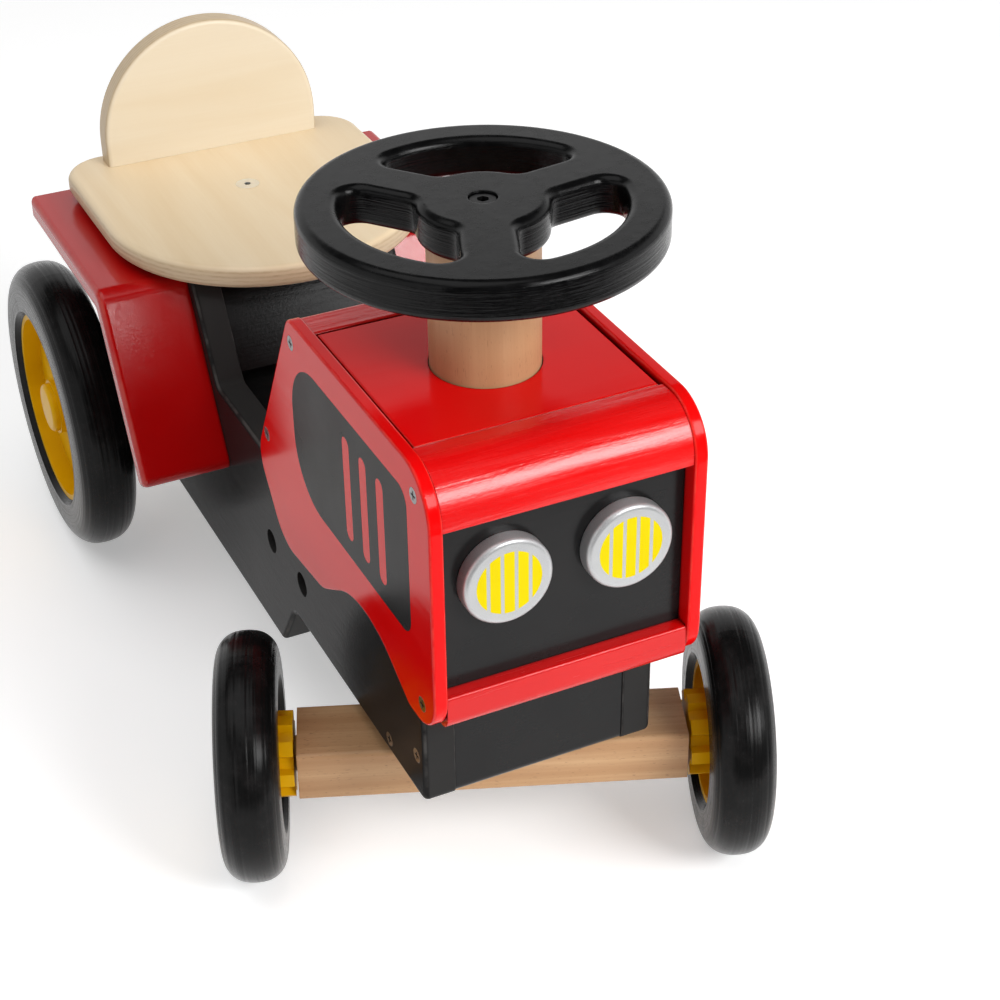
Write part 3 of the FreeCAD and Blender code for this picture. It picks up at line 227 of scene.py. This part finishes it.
def along(axis, lengthwise, crosswise):
    """Scales of a noise that is drawn out along one axis."""
    return tuple(lengthwise if i == axis else crosswise for i in range(3))


def shaded(colour, shade):
    """A colour made darker or lighter."""
    return tuple(part * shade for part in colour)


def red_shaded(colour, shade):
    """A colour of which only the red is made darker or lighter."""
    return (colour[0] * shade, *colour[1:])


# Materials: the scale of a noise is in waves per metre, a depth or radius in metres

PAINT_EDGE, WOOD_EDGE = 0.7 * MM, 0.8 * MM
LACQUER_IOR, PLY_PAINT_IOR, RUBBER_IOR, PLASTIC_IOR, SILVER_IOR, INK_IOR = 1.45, 1.24, 1.22, 1.22, 1.5, 1.14
RED_DEEP, RED_CLEAR = (0.68, 0.0015, 0.002), (0.76, 0.003, 0.003)
# lighter red along the edges: partly wear, partly a painted highlight
RED_WORN_HIGHLIGHT, RED_WORN_HIGHLIGHT_SHARE = (0.86, 0.09, 0.06), 0.35
# near-black red in seams and recesses: painted shade
RED_SEAM_SHADE, RED_SEAM_SHADE_SHARE, RED_SEAM_SHADE_REACH = (0.03, 0.0, 0.0), 0.95, 2.4 * MM
BLACK_DEEP, BLACK_CLEAR = (0.006, 0.006, 0.0062), (0.010, 0.0095, 0.0095)
# paler rims: painted light; lighter edges: partly wear, partly a painted highlight
BLACK_RIM_PAINTED_LIGHT, BLACK_WORN_HIGHLIGHT, BLACK_WORN_HIGHLIGHT_SHARE = (0.036, 0.035, 0.034), (0.075, 0.072, 0.068), 0.8
# black in seams and recesses: painted shade
BLACK_SEAM_SHADE, BLACK_SEAM_SHADE_REACH = (0.0, 0.0, 0.0), 1.6 * MM
PLY_BLACK_DEEP, PLY_BLACK_CLEAR = (0.002, 0.002, 0.0021), (0.004, 0.004, 0.0042)
BEECH_LIGHT, BEECH_DARK, BEECH_FLECK = (0.64, 0.40, 0.215), (0.48, 0.262, 0.122), (0.24, 0.115, 0.055)
BIRCH_CUT, BIRCH_BROWN, BIRCH_LAYER = (0.60, 0.465, 0.30), (0.38, 0.25, 0.135), 1.4 * MM
RUBBER_CLEAN, RUBBER_DUSTY = (0.005, 0.005, 0.005), (0.013, 0.012, 0.012)
SILVER_DARK, SILVER_LIGHT, SILVER_METALLIC = (0.43, 0.435, 0.44), (0.53, 0.535, 0.54), 0.55
# darkening of the recesses where ambient occlusion finds shade: painted shade
METAL_RECESS_SHADE, METAL_RECESS_SHADE_REACH = (0.01, 0.01, 0.01), 1.8 * MM


def red_paint(name, grain, ior, grain_depth=0.03 * MM, peel_depth=0.018 * MM, shade=1.0, rough=(0.11, 0.18),
              thickness=X):
    """Gloss red paint over wood: slight ripples, a hint of the grain, edges lightened partly as wear and partly
    as a painted highlight, painted shade in the seams.
    """
    s = Shader(name, IOR=ior)
    cloud = s.noise(9.0, detail=2.0)
    fibres = s.noise(along(grain, 14.0, 260.0), detail=4.0)
    peel = s.noise(420.0, detail=2.0)
    # edges lightened partly as wear, partly as a painted highlight
    worn_highlight = s.times(s.worn_and_highlit_edges(thickness), RED_WORN_HIGHLIGHT_SHARE)
    # seams and recesses darkened where ambient occlusion finds shade: painted shade
    seam_shade = s.times(s.crevice_shade(RED_SEAM_SHADE_REACH), RED_SEAM_SHADE_SHARE)
    colour = s.colour(s.spread(cloud), red_shaded(RED_DEEP, shade), red_shaded(RED_CLEAR, shade))
    colour = s.colour(worn_highlight, colour, red_shaded(RED_WORN_HIGHLIGHT, shade))
    colour = s.colour(seam_shade, colour, RED_SEAM_SHADE)
    normal = s.bump(fibres, grain_depth, s.soft_edges(PAINT_EDGE))
    normal = s.bump(peel, peel_depth, normal)
    return s.finish(colour, s.spread(fibres, *rough), normal)


def black_paint(name, grain, ior, grain_depth=0.02 * MM, peel_depth=0.02 * MM, shade=1.0, painted_rim_light_share=0.0):
    """Satin black paint over wood: the fibres show through, edges are lightened partly as wear and partly as a
    painted highlight, sawn rims are painted paler as painted light, seams get painted shade.
    """
    s = Shader(name, IOR=ior)
    cloud = s.noise(14.0, detail=3.0)
    fibres = s.noise(along(grain, 30.0, 520.0), detail=5.0, roughness=0.6)
    peel = s.noise(500.0, detail=2.0)
    colour = s.colour(s.spread(cloud), shaded(BLACK_DEEP, shade), shaded(BLACK_CLEAR, shade))
    # painted light: rims, the faces that do not look across, are painted paler for the light they catch
    if painted_rim_light_share:
        rim = s.span(s.facing(X), 0.1, 0.35, painted_rim_light_share, 0.0)
        colour = s.colour(rim, colour, BLACK_RIM_PAINTED_LIGHT)
    # edges lightened partly as wear, partly as a painted highlight
    colour = s.colour(s.times(s.worn_and_highlit_edges(X), BLACK_WORN_HIGHLIGHT_SHARE), colour, BLACK_WORN_HIGHLIGHT)
    # seams and recesses darkened where ambient occlusion finds shade: painted shade
    colour = s.colour(s.crevice_shade(BLACK_SEAM_SHADE_REACH), colour, BLACK_SEAM_SHADE)
    normal = s.bump(fibres, grain_depth, s.soft_edges(PAINT_EDGE))
    normal = s.bump(peel, peel_depth, normal)
    roughness = s.span(fibres, 0.3, 0.75, start=0.18, end=0.27)
    return s.finish(colour, roughness, normal)


def black_ply(name):
    """Thick black paint over plywood: smooth on the faces, lines of the plies on the edges."""
    s = Shader(name, IOR=PLY_PAINT_IOR)
    edge = s.span(s.facing(Z), 0.25, 0.75, start=1.0, end=0.0)
    plies = s.noise(along(Z, 760.0, 22.0), detail=4.0, roughness=0.65)
    lumps = s.noise(150.0, detail=3.0)
    fine = s.noise(700.0, detail=2.0)
    normal = s.bump(s.times(plies, edge), 0.35 * MM, s.soft_edges(1.2 * MM))
    normal = s.bump(lumps, 0.06 * MM, normal)
    normal = s.bump(fine, 0.02 * MM, normal)
    colour = s.colour(s.spread(lumps), PLY_BLACK_DEEP, PLY_BLACK_CLEAR)
    edge_shine = s.times(edge, 0.13)
    roughness = s.sums("SUBTRACT", s.spread(lumps, start=0.2, end=0.3), edge_shine)
    return s.finish(colour, roughness, normal)


def beech(name, grain, centre=(0.0, 0.0, 0.0), angle=0.0, fleck_share=0.55, band_share=1.0, shade=1.0):
    """Lacquered beech: soft bands, fine fibres and short dark flecks along the grain."""
    s = Shader(name, IOR=LACQUER_IOR)
    light, dark = shaded(BEECH_LIGHT, shade), shaded(BEECH_DARK, shade)
    place = s.turned(s.place, centre, angle)
    bands = s.noise(along(grain, 2.5, 95.0), place, detail=3.0, distortion=0.6)
    fibres = s.noise(along(grain, 26.0, 900.0), place, detail=4.0, roughness=0.65)
    flecks = s.noise(along(grain, 260.0, 1500.0), place, detail=1.0)
    fleck = s.times(s.span(flecks, 0.66, 0.74), fleck_share)
    colour = s.colour(s.spread(bands, 0.5 - band_share / 2, 0.5 + band_share / 2), light, dark)
    colour = s.colour(s.span(fibres, 0.38, 0.72, start=0.0, end=0.6 * band_share), colour, dark)
    colour = s.colour(fleck, colour, BEECH_FLECK)
    normal = s.bump(fibres, 0.05 * MM, s.soft_edges(WOOD_EDGE))
    return s.finish(colour, s.spread(fibres, start=0.38, end=0.52), normal)


def birch_ply(name, grain, stack, pale, warm):
    """Lacquered birch plywood: pale faces with soft grain, and layers on the edges."""
    s = Shader(name, IOR=LACQUER_IOR)
    edge = s.span(s.facing(stack), 0.45, 0.85, start=1.0, end=0.0)
    bands = s.noise(along(grain, 3.0, 38.0), detail=3.0, distortion=0.6)
    fibres = s.noise(along(grain, 22.0, 800.0), detail=4.0, roughness=0.6)
    saw_marks = s.noise(along(stack, 900.0, 160.0), detail=3.0)
    face = s.colour(s.span(bands, 0.32, 0.72), pale, warm)
    face = s.colour(s.span(fibres, 0.4, 0.75, start=0.0, end=0.25), face, warm)
    height = s.sums("ADD", s.parts(s.place)[stack], s.times(bands, 0.25 * BIRCH_LAYER))
    layers = s.sums("PINGPONG", height, BIRCH_LAYER)
    strip = s.span(layers, 0.35 * BIRCH_LAYER, 0.65 * BIRCH_LAYER)
    sawn = s.colour(s.spread(saw_marks), BIRCH_CUT, BIRCH_BROWN)
    side = s.colour(s.times(strip, 0.5), BIRCH_CUT, sawn)
    normal = s.bump(fibres, 0.035 * MM, s.soft_edges(WOOD_EDGE))
    normal = s.bump(s.times(strip, edge), 0.06 * MM, normal)
    return s.finish(s.colour(edge, face, side), s.spread(fibres, start=0.34, end=0.46), normal)


def rubber(name, centre, angle):
    """Black rubber with moulding ridges and fine lines round the wheel, and a little dust."""
    s = Shader(name, IOR=RUBBER_IOR)
    across, deep, up = s.parts(s.turned(s.place, centre, angle))
    rings = s.joined(across, s.length(deep, up), 0.0)
    ridges = s.noise(along(Z, 1.0, 170.0), rings, detail=2.0, roughness=0.5)
    lines = s.noise(along(Z, 1.0, 900.0), rings, detail=4.0, roughness=0.7)
    dust = s.noise(90.0, detail=5.0, roughness=0.7)
    grain = s.noise(900.0, detail=2.0)
    colour = s.colour(s.span(dust, 0.45, 0.8), RUBBER_CLEAN, RUBBER_DUSTY)
    normal = s.bump(ridges, 1.2 * MM, s.soft_edges(0.6 * MM))
    normal = s.bump(lines, 0.15 * MM, normal)
    normal = s.bump(grain, 0.015 * MM, normal)
    dusty = s.span(dust, 0.5, 0.8, start=0.0, end=0.1)
    roughness = s.sums("ADD", s.spread(lines, start=0.16, end=0.28), dusty)
    return s.finish(colour, roughness, normal)


def plastic(name, first, second, rough):
    """Moulded plastic: even colour with faint flow clouds and a fine grain."""
    s = Shader(name, IOR=PLASTIC_IOR)
    cloud = s.noise(40.0, detail=2.0)
    grain = s.noise(1100.0, detail=2.0)
    normal = s.bump(grain, 0.02 * MM, s.soft_edges(0.5 * MM))
    return s.finish(s.colour(s.spread(cloud), first, second), s.spread(cloud, *rough), normal)


def silver_paint(name):
    """Silver paint with fine flakes."""
    s = Shader(name, Metallic=SILVER_METALLIC, IOR=SILVER_IOR)
    flakes = s.noise(2600.0, detail=1.0)
    cloud = s.noise(60.0, detail=3.0)
    colour = s.colour(s.span(flakes, 0.35, 0.65), SILVER_DARK, SILVER_LIGHT)
    normal = s.bump(flakes, 0.012 * MM, s.soft_edges(0.6 * MM))
    return s.finish(colour, s.spread(cloud, start=0.3, end=0.42), normal)


def metal(name, first, second, rough, cloud_scale=300.0):
    """Plated steel with clouds in its shine, fine scratches and painted shade in the recesses."""
    s = Shader(name, Metallic=1.0)
    cloud = s.noise(cloud_scale, detail=3.0)
    scratches = s.noise(along(Y, 160.0, 2400.0), detail=2.0)
    normal = s.bump(scratches, 0.01 * MM, s.soft_edges(0.2 * MM))
    colour = s.colour(s.spread(cloud), first, second)
    # recesses darkened: painted shade
    colour = s.colour(s.crevice_shade(METAL_RECESS_SHADE_REACH), colour, METAL_RECESS_SHADE)
    return s.finish(colour, s.spread(cloud, *rough), normal)


def print_ink(name, first, second):
    """A printed film: even ink with a faint unevenness."""
    s = Shader(name, IOR=INK_IOR)
    cloud = s.noise(30.0, detail=3.0)
    grain = s.noise(600.0, detail=2.0)
    normal = s.bump(grain, 0.012 * MM)
    return s.finish(s.colour(s.spread(cloud), first, second), s.spread(cloud, start=0.2, end=0.28), normal)


# Dressing of the CAD nodes; the grain of the front beam and the lines of the front tyres turn with the steering

def dress(material, *names):
    for name in names:
        for slot in NODES[name].material_slots:
            slot.material = material


steer_joint = next(joint for joint in frame["joints"] if joint["name"] == "steer")
spin_joints = {joint["child"]: joint for joint in frame["joints"] if joint["name"].endswith("_spin")}
steer_centre = Vector(steer_joint["pos_m"])
wheel_axis = Vector(spin_joints["front_wheel_left"]["axis"])
steer_angle = math.atan2(wheel_axis.y, wheel_axis.x)

dress(red_paint("red_side", grain=Y, ior=1.22), "hood_side_right", "hood_side_left")
dress(red_paint("red_lid", grain=X, ior=1.22, thickness=Z), "hood_top_panel")
# the rails' red is painted a little darker (shade=0.92): painted shade to offset the front light they catch
dress(red_paint("red_rail", grain=X, ior=1.5, grain_depth=0.3 * MM, peel_depth=0.1 * MM, shade=0.92,
                rough=(0.17, 0.34)),
      "hood_front_rail", "hood_rear_rail", "hood_back_panel", "hood_back_rail")
# the low rail's red is painted darker still (shade=0.8): painted shade against the front light on its face
dress(red_paint("red_low_rail", grain=X, ior=1.4, grain_depth=0.12 * MM, peel_depth=0.05 * MM, shade=0.8,
                rough=(0.17, 0.3)),
      "hood_low_rail")
# the guards' red is painted darker (shade=0.6): painted shade for the light the hood keeps off them
dress(red_paint("red_guard", grain=Y, ior=1.42, peel_depth=0.055 * MM, shade=0.6, rough=(0.14, 0.24)),
      "mudguard_right", "mudguard_left")
# the side boards' black is painted lighter (shade=1.9) and their rims paler: painted light for the light their
# front edges catch
dress(black_paint("black_side", grain=Y, ior=1.105, peel_depth=0.05 * MM, shade=1.9, painted_rim_light_share=0.65),
      "chassis_side_right", "chassis_side_left", "rear_axle_block")
dress(black_paint("black_cross", grain=X, ior=1.28),
      "front_plate", "lower_bearing_board", "upper_bearing_board", "rear_plate", "grille_panel", "seat_batten")
# the seat front board's black is painted darker (shade=0.6): painted shade for the seat's shadow over it
dress(black_paint("black_rough", grain=X, ior=1.16, grain_depth=0.12 * MM, peel_depth=0.07 * MM, shade=0.6),
      "seat_front_board")
dress(black_ply("black_ply_wheel"), "steering_wheel")
dress(beech("beech_column", grain=Z, fleck_share=0.4, band_share=0.4, shade=0.84),
      "steering_column", "thrust_ring", "steering_dowels")
dress(beech("beech_beam", grain=X, centre=steer_centre, angle=steer_angle), "front_axle_beam")
dress(birch_ply("birch_seat", grain=Y, stack=Z, pale=(0.83, 0.68, 0.47), warm=(0.77, 0.595, 0.375)), "seat_plate")
dress(birch_ply("birch_back", grain=X, stack=Y, pale=(0.80, 0.705, 0.54), warm=(0.75, 0.63, 0.445)), "seat_back")
yellow = plastic("yellow_moulded", (0.72, 0.39, 0.0), (0.80, 0.45, 0.001), rough=(0.3, 0.42))
for end in ENDS:
    for side in SIDES:
        hub_centre = Vector(spin_joints[f"{end}_wheel_{side}"]["pos_m"])
        turn = steer_angle if end == "front" else 0.0
        dress(rubber(f"rubber_{end}_{side}", hub_centre, turn), f"{end}_tyre_{side}")
        dress(yellow, f"{end}_hub_{side}", f"{end}_hub_cap_{side}")
# the spacers are yellow plastic, painted a darker orange-brown: painted shade for the shade between hub and beam
dress(plastic("spacer_yellow_painted_shade", (0.36, 0.20, 0.06), (0.44, 0.26, 0.09), rough=(0.45, 0.55)), "front_spacers")
dress(silver_paint("silver_lamp"), "headlight_right", "headlight_left")
zinc_nodes = [row["node"] for row in frame["record"]["subparts"] if row["material_slot"] == "zinc_steel"]
dress(metal("zinc_plated", (0.17, 0.175, 0.18), (0.29, 0.295, 0.305), rough=(0.15, 0.26)), *zinc_nodes)
dress(metal("zinc_bright", (0.78, 0.80, 0.80), (0.86, 0.88, 0.88), rough=(0.3, 0.36), cloud_scale=60.0),
      "seat_bolt")
dress(metal("black_oxide", (0.02, 0.02, 0.021), (0.045, 0.044, 0.044), rough=(0.3, 0.45)),
      "steering_wheel_bolt")


# Prints: thin films cut from an outline

FILM = 0.06 * MM
ARC_STEP = math.radians(6)


def put(name, data):
    """A new object in the scene."""
    piece = bpy.data.objects.new(name, data)
    bpy.context.scene.collection.objects.link(piece)
    return piece


def rounded(corners):
    """Points of an outline whose corners (x, y, radius) are rounded off."""
    points = []
    count = len(corners)
    for i, (x, y, radius) in enumerate(corners):
        here = Vector((x, y))
        back = (Vector(corners[i - 1][:2]) - here).normalized()
        ahead = (Vector(corners[(i + 1) % count][:2]) - here).normalized()
        half = back.angle(ahead) / 2
        middle = here + (back + ahead).normalized() * radius / math.sin(half)
        first = here + back * radius / math.tan(half) - middle
        sweep = first.angle_signed(here + ahead * radius / math.tan(half) - middle)
        arcs = max(2, round(abs(sweep) / ARC_STEP))
        for k in range(arcs + 1):
            points.append(middle + first @ Matrix.Rotation(sweep * k / arcs, 2))
    return points


def film(name, loops, place, material, body):
    """A film with holes: the loops lie in a plane that the matrix puts in place."""
    curve = bpy.data.curves.new(name + "_outline", "CURVE")
    curve.dimensions, curve.fill_mode, curve.extrude = "2D", "BOTH", FILM / 2
    for loop in loops:
        spline = curve.splines.new("POLY")
        spline.points.add(len(loop) - 1)
        for point, spot in zip(spline.points, loop):
            point.co = (spot[0], spot[1], 0.0, 1.0)
        spline.use_cyclic_u = True
    shaper = put(name + "_outline", curve)
    bpy.context.view_layer.update()
    mesh = bpy.data.meshes.new_from_object(shaper.evaluated_get(bpy.context.evaluated_depsgraph_get()))
    bpy.data.objects.remove(shaper)
    bpy.data.curves.remove(curve)
    mesh.name = name
    mesh.transform(place)
    if place.determinant() < 0:
        mesh.flip_normals()
    mesh.materials.clear()
    mesh.materials.append(material)
    piece = put(name, mesh)
    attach(piece, body)


# Printed panel on each side of the hood, in mm from the top front corner of the side's box

PANEL_CORNERS = ((26, -19, 10), (26, -105, 10), (180, -105, 35), (180, -19, 35))
BAR_MIDDLES = (60, 81.5, 103.5)
BAR_TOP, BAR_BOTTOM, BAR_WIDTH = -31.5, -93.5, 9.0
BAR_TIP = BAR_WIDTH / 2 - 0.01  # a little less than a half circle, so that the tip keeps a flat

hood_low, hood_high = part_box("hood_side_right")
panel_ink = print_ink("panel_ink", (0.010, 0.0098, 0.010), (0.014, 0.0135, 0.0135))
panel_loops = [[p * MM for p in rounded(PANEL_CORNERS)]]
for middle in BAR_MIDDLES:
    near, far = middle - BAR_WIDTH / 2, middle + BAR_WIDTH / 2
    bar = [(y, z, BAR_TIP) for y, z in ((near, BAR_TOP), (near, BAR_BOTTOM), (far, BAR_BOTTOM), (far, BAR_TOP))]
    panel_loops.append([p * MM for p in rounded(bar)])
for side, sign in SIDES.items():
    outer = sign * max(abs(hood_low.x), abs(hood_high.x))
    place = Matrix(((0, 0, sign, outer), (1, 0, 0, hood_low.y), (0, 1, 0, hood_high.z), (0, 0, 0, 1)))
    film(f"hood_print_{side}", panel_loops, place, panel_ink, "chassis")


# Printed stripes on the headlights

LAMP_PRINT, STRIPE_WIDTH, STRIPE_PITCH = 17.6 * MM, 5.6 * MM, 7.5 * MM
LAMP_EDGE = LAMP_PRINT * 0.999  # stripes end just inside the circle, so that none runs to a point
STRIPE_ROWS, STRIPE_STEPS = range(-2, 3), 12


def stripe(middle):
    """One upright stripe, cut off by the print's circle."""
    low, high = max(middle - STRIPE_WIDTH / 2, -LAMP_EDGE), min(middle + STRIPE_WIDTH / 2, LAMP_EDGE)
    xs = [low + (high - low) * k / STRIPE_STEPS for k in range(STRIPE_STEPS + 1)]
    top = [(x, math.sqrt(LAMP_PRINT ** 2 - x * x)) for x in xs]
    return top + [(x, -y) for x, y in reversed(top)]


lamp_ink = print_ink("lamp_ink", (0.65, 0.51, 0.0), (0.70, 0.56, 0.001))
stripes = [stripe(STRIPE_PITCH * row) for row in STRIPE_ROWS]
for side in SIDES:
    low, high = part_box(f"headlight_{side}")
    centre = (low + high) / 2
    place = Matrix(((1, 0, 0, centre.x), (0, 0, -1, low.y), (0, 1, 0, centre.z), (0, 0, 0, 1)))
    film(f"headlight_print_{side}", stripes, place, lamp_ink, "chassis")


# Floor, light and camera

FLOOR_REACH, FLOOR_GAP = 6.0, 0.2 * MM
FLOOR_COLOUR, CARD_COLOUR = (0.95, 0.95, 0.95, 1.0), (0.01, 0.01, 0.01, 1.0)
FLOOR_GLOW = 0.35  # of the floor near the tractor; farther out it rises to the white of the world
GLOW_STARTS, GLOW_ENDS = 1.3, 3.5
WHITE = 1.0
SENSOR, VIEW_END = 36.0, 50.0


def seen_rays(tree):
    """1 for rays that the camera, a reflection or a clear surface looks along, 0 for the light between."""
    path = tree.nodes.new("ShaderNodeLightPath")
    value = path.outputs["Is Camera Ray"]
    for name in ("Is Glossy Ray", "Is Transmission Ray"):
        higher = tree.nodes.new("ShaderNodeMath")
        higher.operation = "MAXIMUM"
        tree.links.new(value, higher.inputs[0])
        tree.links.new(path.outputs[name], higher.inputs[1])
        value = higher.outputs[0]
    return value


def sheet(name, low, high, material):
    """A flat piece with two sides along X, between two opposite corners."""
    corners = [low, (high[X], low[Y], low[Z]), high, (low[X], high[Y], high[Z])]
    mesh = bpy.data.meshes.new(name)
    mesh.from_pydata(corners, [], [tuple(range(len(corners)))])
    mesh.materials.append(material)
    return put(name, mesh)


def floor():
    """A pale floor that keeps the tractor's shadow and fades to white far away."""
    s = Shader("floor_white", Roughness=0.8, IOR=1.3)
    s.bsdf.inputs["Base Color"].default_value = FLOOR_COLOUR
    glow = s.add("ShaderNodeEmission")
    blend = s.add("ShaderNodeAddShader")
    across, deep, _ = s.parts(s.place)
    level = s.span(s.length(across, deep), GLOW_STARTS, GLOW_ENDS, FLOOR_GLOW, WHITE)
    s.link(s.times(seen_rays(s.tree), level), glow.inputs["Strength"])
    s.link(s.bsdf.outputs["BSDF"], blend.inputs[0])
    s.link(glow.outputs["Emission"], blend.inputs[1])
    s.link(blend.outputs["Shader"], s.output.inputs["Surface"])
    piece = sheet("floor", (-FLOOR_REACH, -FLOOR_REACH, 0), (FLOOR_REACH, FLOOR_REACH, 0), s.material)
    piece.location.z = cad_box[0][Z] - FLOOR_GAP


def world(ambient):
    """White where the camera or a reflection looks, and an even soft light elsewhere."""
    sky = bpy.data.worlds.new("studio")
    sky.use_nodes = True
    tree = sky.node_tree
    background = tree.nodes["Background"]
    level = tree.nodes.new("ShaderNodeMapRange")
    level.inputs["To Min"].default_value = ambient
    level.inputs["To Max"].default_value = WHITE
    tree.links.new(seen_rays(tree), level.inputs["Value"])
    tree.links.new(level.outputs["Result"], background.inputs["Strength"])
    background.inputs["Color"].default_value = (1, 1, 1, 1)
    bpy.context.scene.world = sky


def flag(name, low, high, shade=False):
    """A dark card out of the picture that keeps the studio's white out of the tractor's gloss."""
    s = Shader("dark_card", Roughness=0.9)
    s.bsdf.inputs["Base Color"].default_value = CARD_COLOUR
    card = sheet(name, low, high, s.material)
    card.visible_camera = card.visible_shadow = card.visible_transmission = False
    card.visible_diffuse = shade


def softbox(name, spot, target, size, watts, mirrored=True):
    data = bpy.data.lights.new(name, "AREA")
    data.shape, data.size, data.size_y = "RECTANGLE", *size
    data.energy = watts
    lamp = put(name, data)
    lamp.location = spot
    lamp.rotation_euler = (Vector(target) - Vector(spot)).to_track_quat("-Z", "Y").to_euler()
    lamp.visible_glossy = mirrored


def camera(spot, azimuth, elevation, roll, lens):
    """The photograph's camera; angles in degrees, the roll about the line of sight."""
    data = bpy.data.cameras.new("camera")
    data.sensor_fit, data.sensor_width, data.lens = "HORIZONTAL", SENSOR, lens
    data.clip_end = VIEW_END
    view = put("camera", data)
    a, e, r = (math.radians(angle) for angle in (azimuth, elevation, roll))
    ahead = Vector((-math.sin(a) * math.cos(e), math.cos(a) * math.cos(e), -math.sin(e)))
    right = ahead.cross(Vector((0, 0, 1))).normalized()
    down = ahead.cross(right)
    right, down = right * math.cos(r) - down * math.sin(r), right * math.sin(r) + down * math.cos(r)
    turn = Matrix((right, -down, -ahead)).transposed()
    view.matrix_world = Matrix.Translation(spot) @ turn.to_4x4()
    bpy.context.scene.camera = view


floor()
world(ambient=0.38)
softbox("key_softbox", spot=(0.78, -1.87, 1.35), target=(0.0, -0.25, 0.25), size=(1.1, 0.8), watts=42.0)
softbox("top_softbox", spot=(-0.6, -0.2, 2.3), target=(0.0, 0.0, 0.2), size=(2.2, 1.8), watts=20.0)
softbox("front_softbox", spot=(-0.1, -2.0, 0.45), target=(0.0, -0.25, 0.2), size=(1.0, 0.5), watts=5.0,
        mirrored=False)
flag("flag_wall", low=(-2.4, -2.4, 0.0), high=(2.4, -2.4, 2.6), shade=True)
flag("flag_floor", low=(-2.4, -2.4, 0.002), high=(2.4, -0.72, 0.002))
flag("flag_ceiling", low=(-4.0, -2.4, 3.0), high=(4.0, 3.7, 3.0))
camera(spot=(-0.3866, -1.0348, 0.8337), azimuth=-25.42, elevation=33.19, roll=-0.652, lens=74.85)
bpy.context.scene.view_settings.view_transform = "Standard"
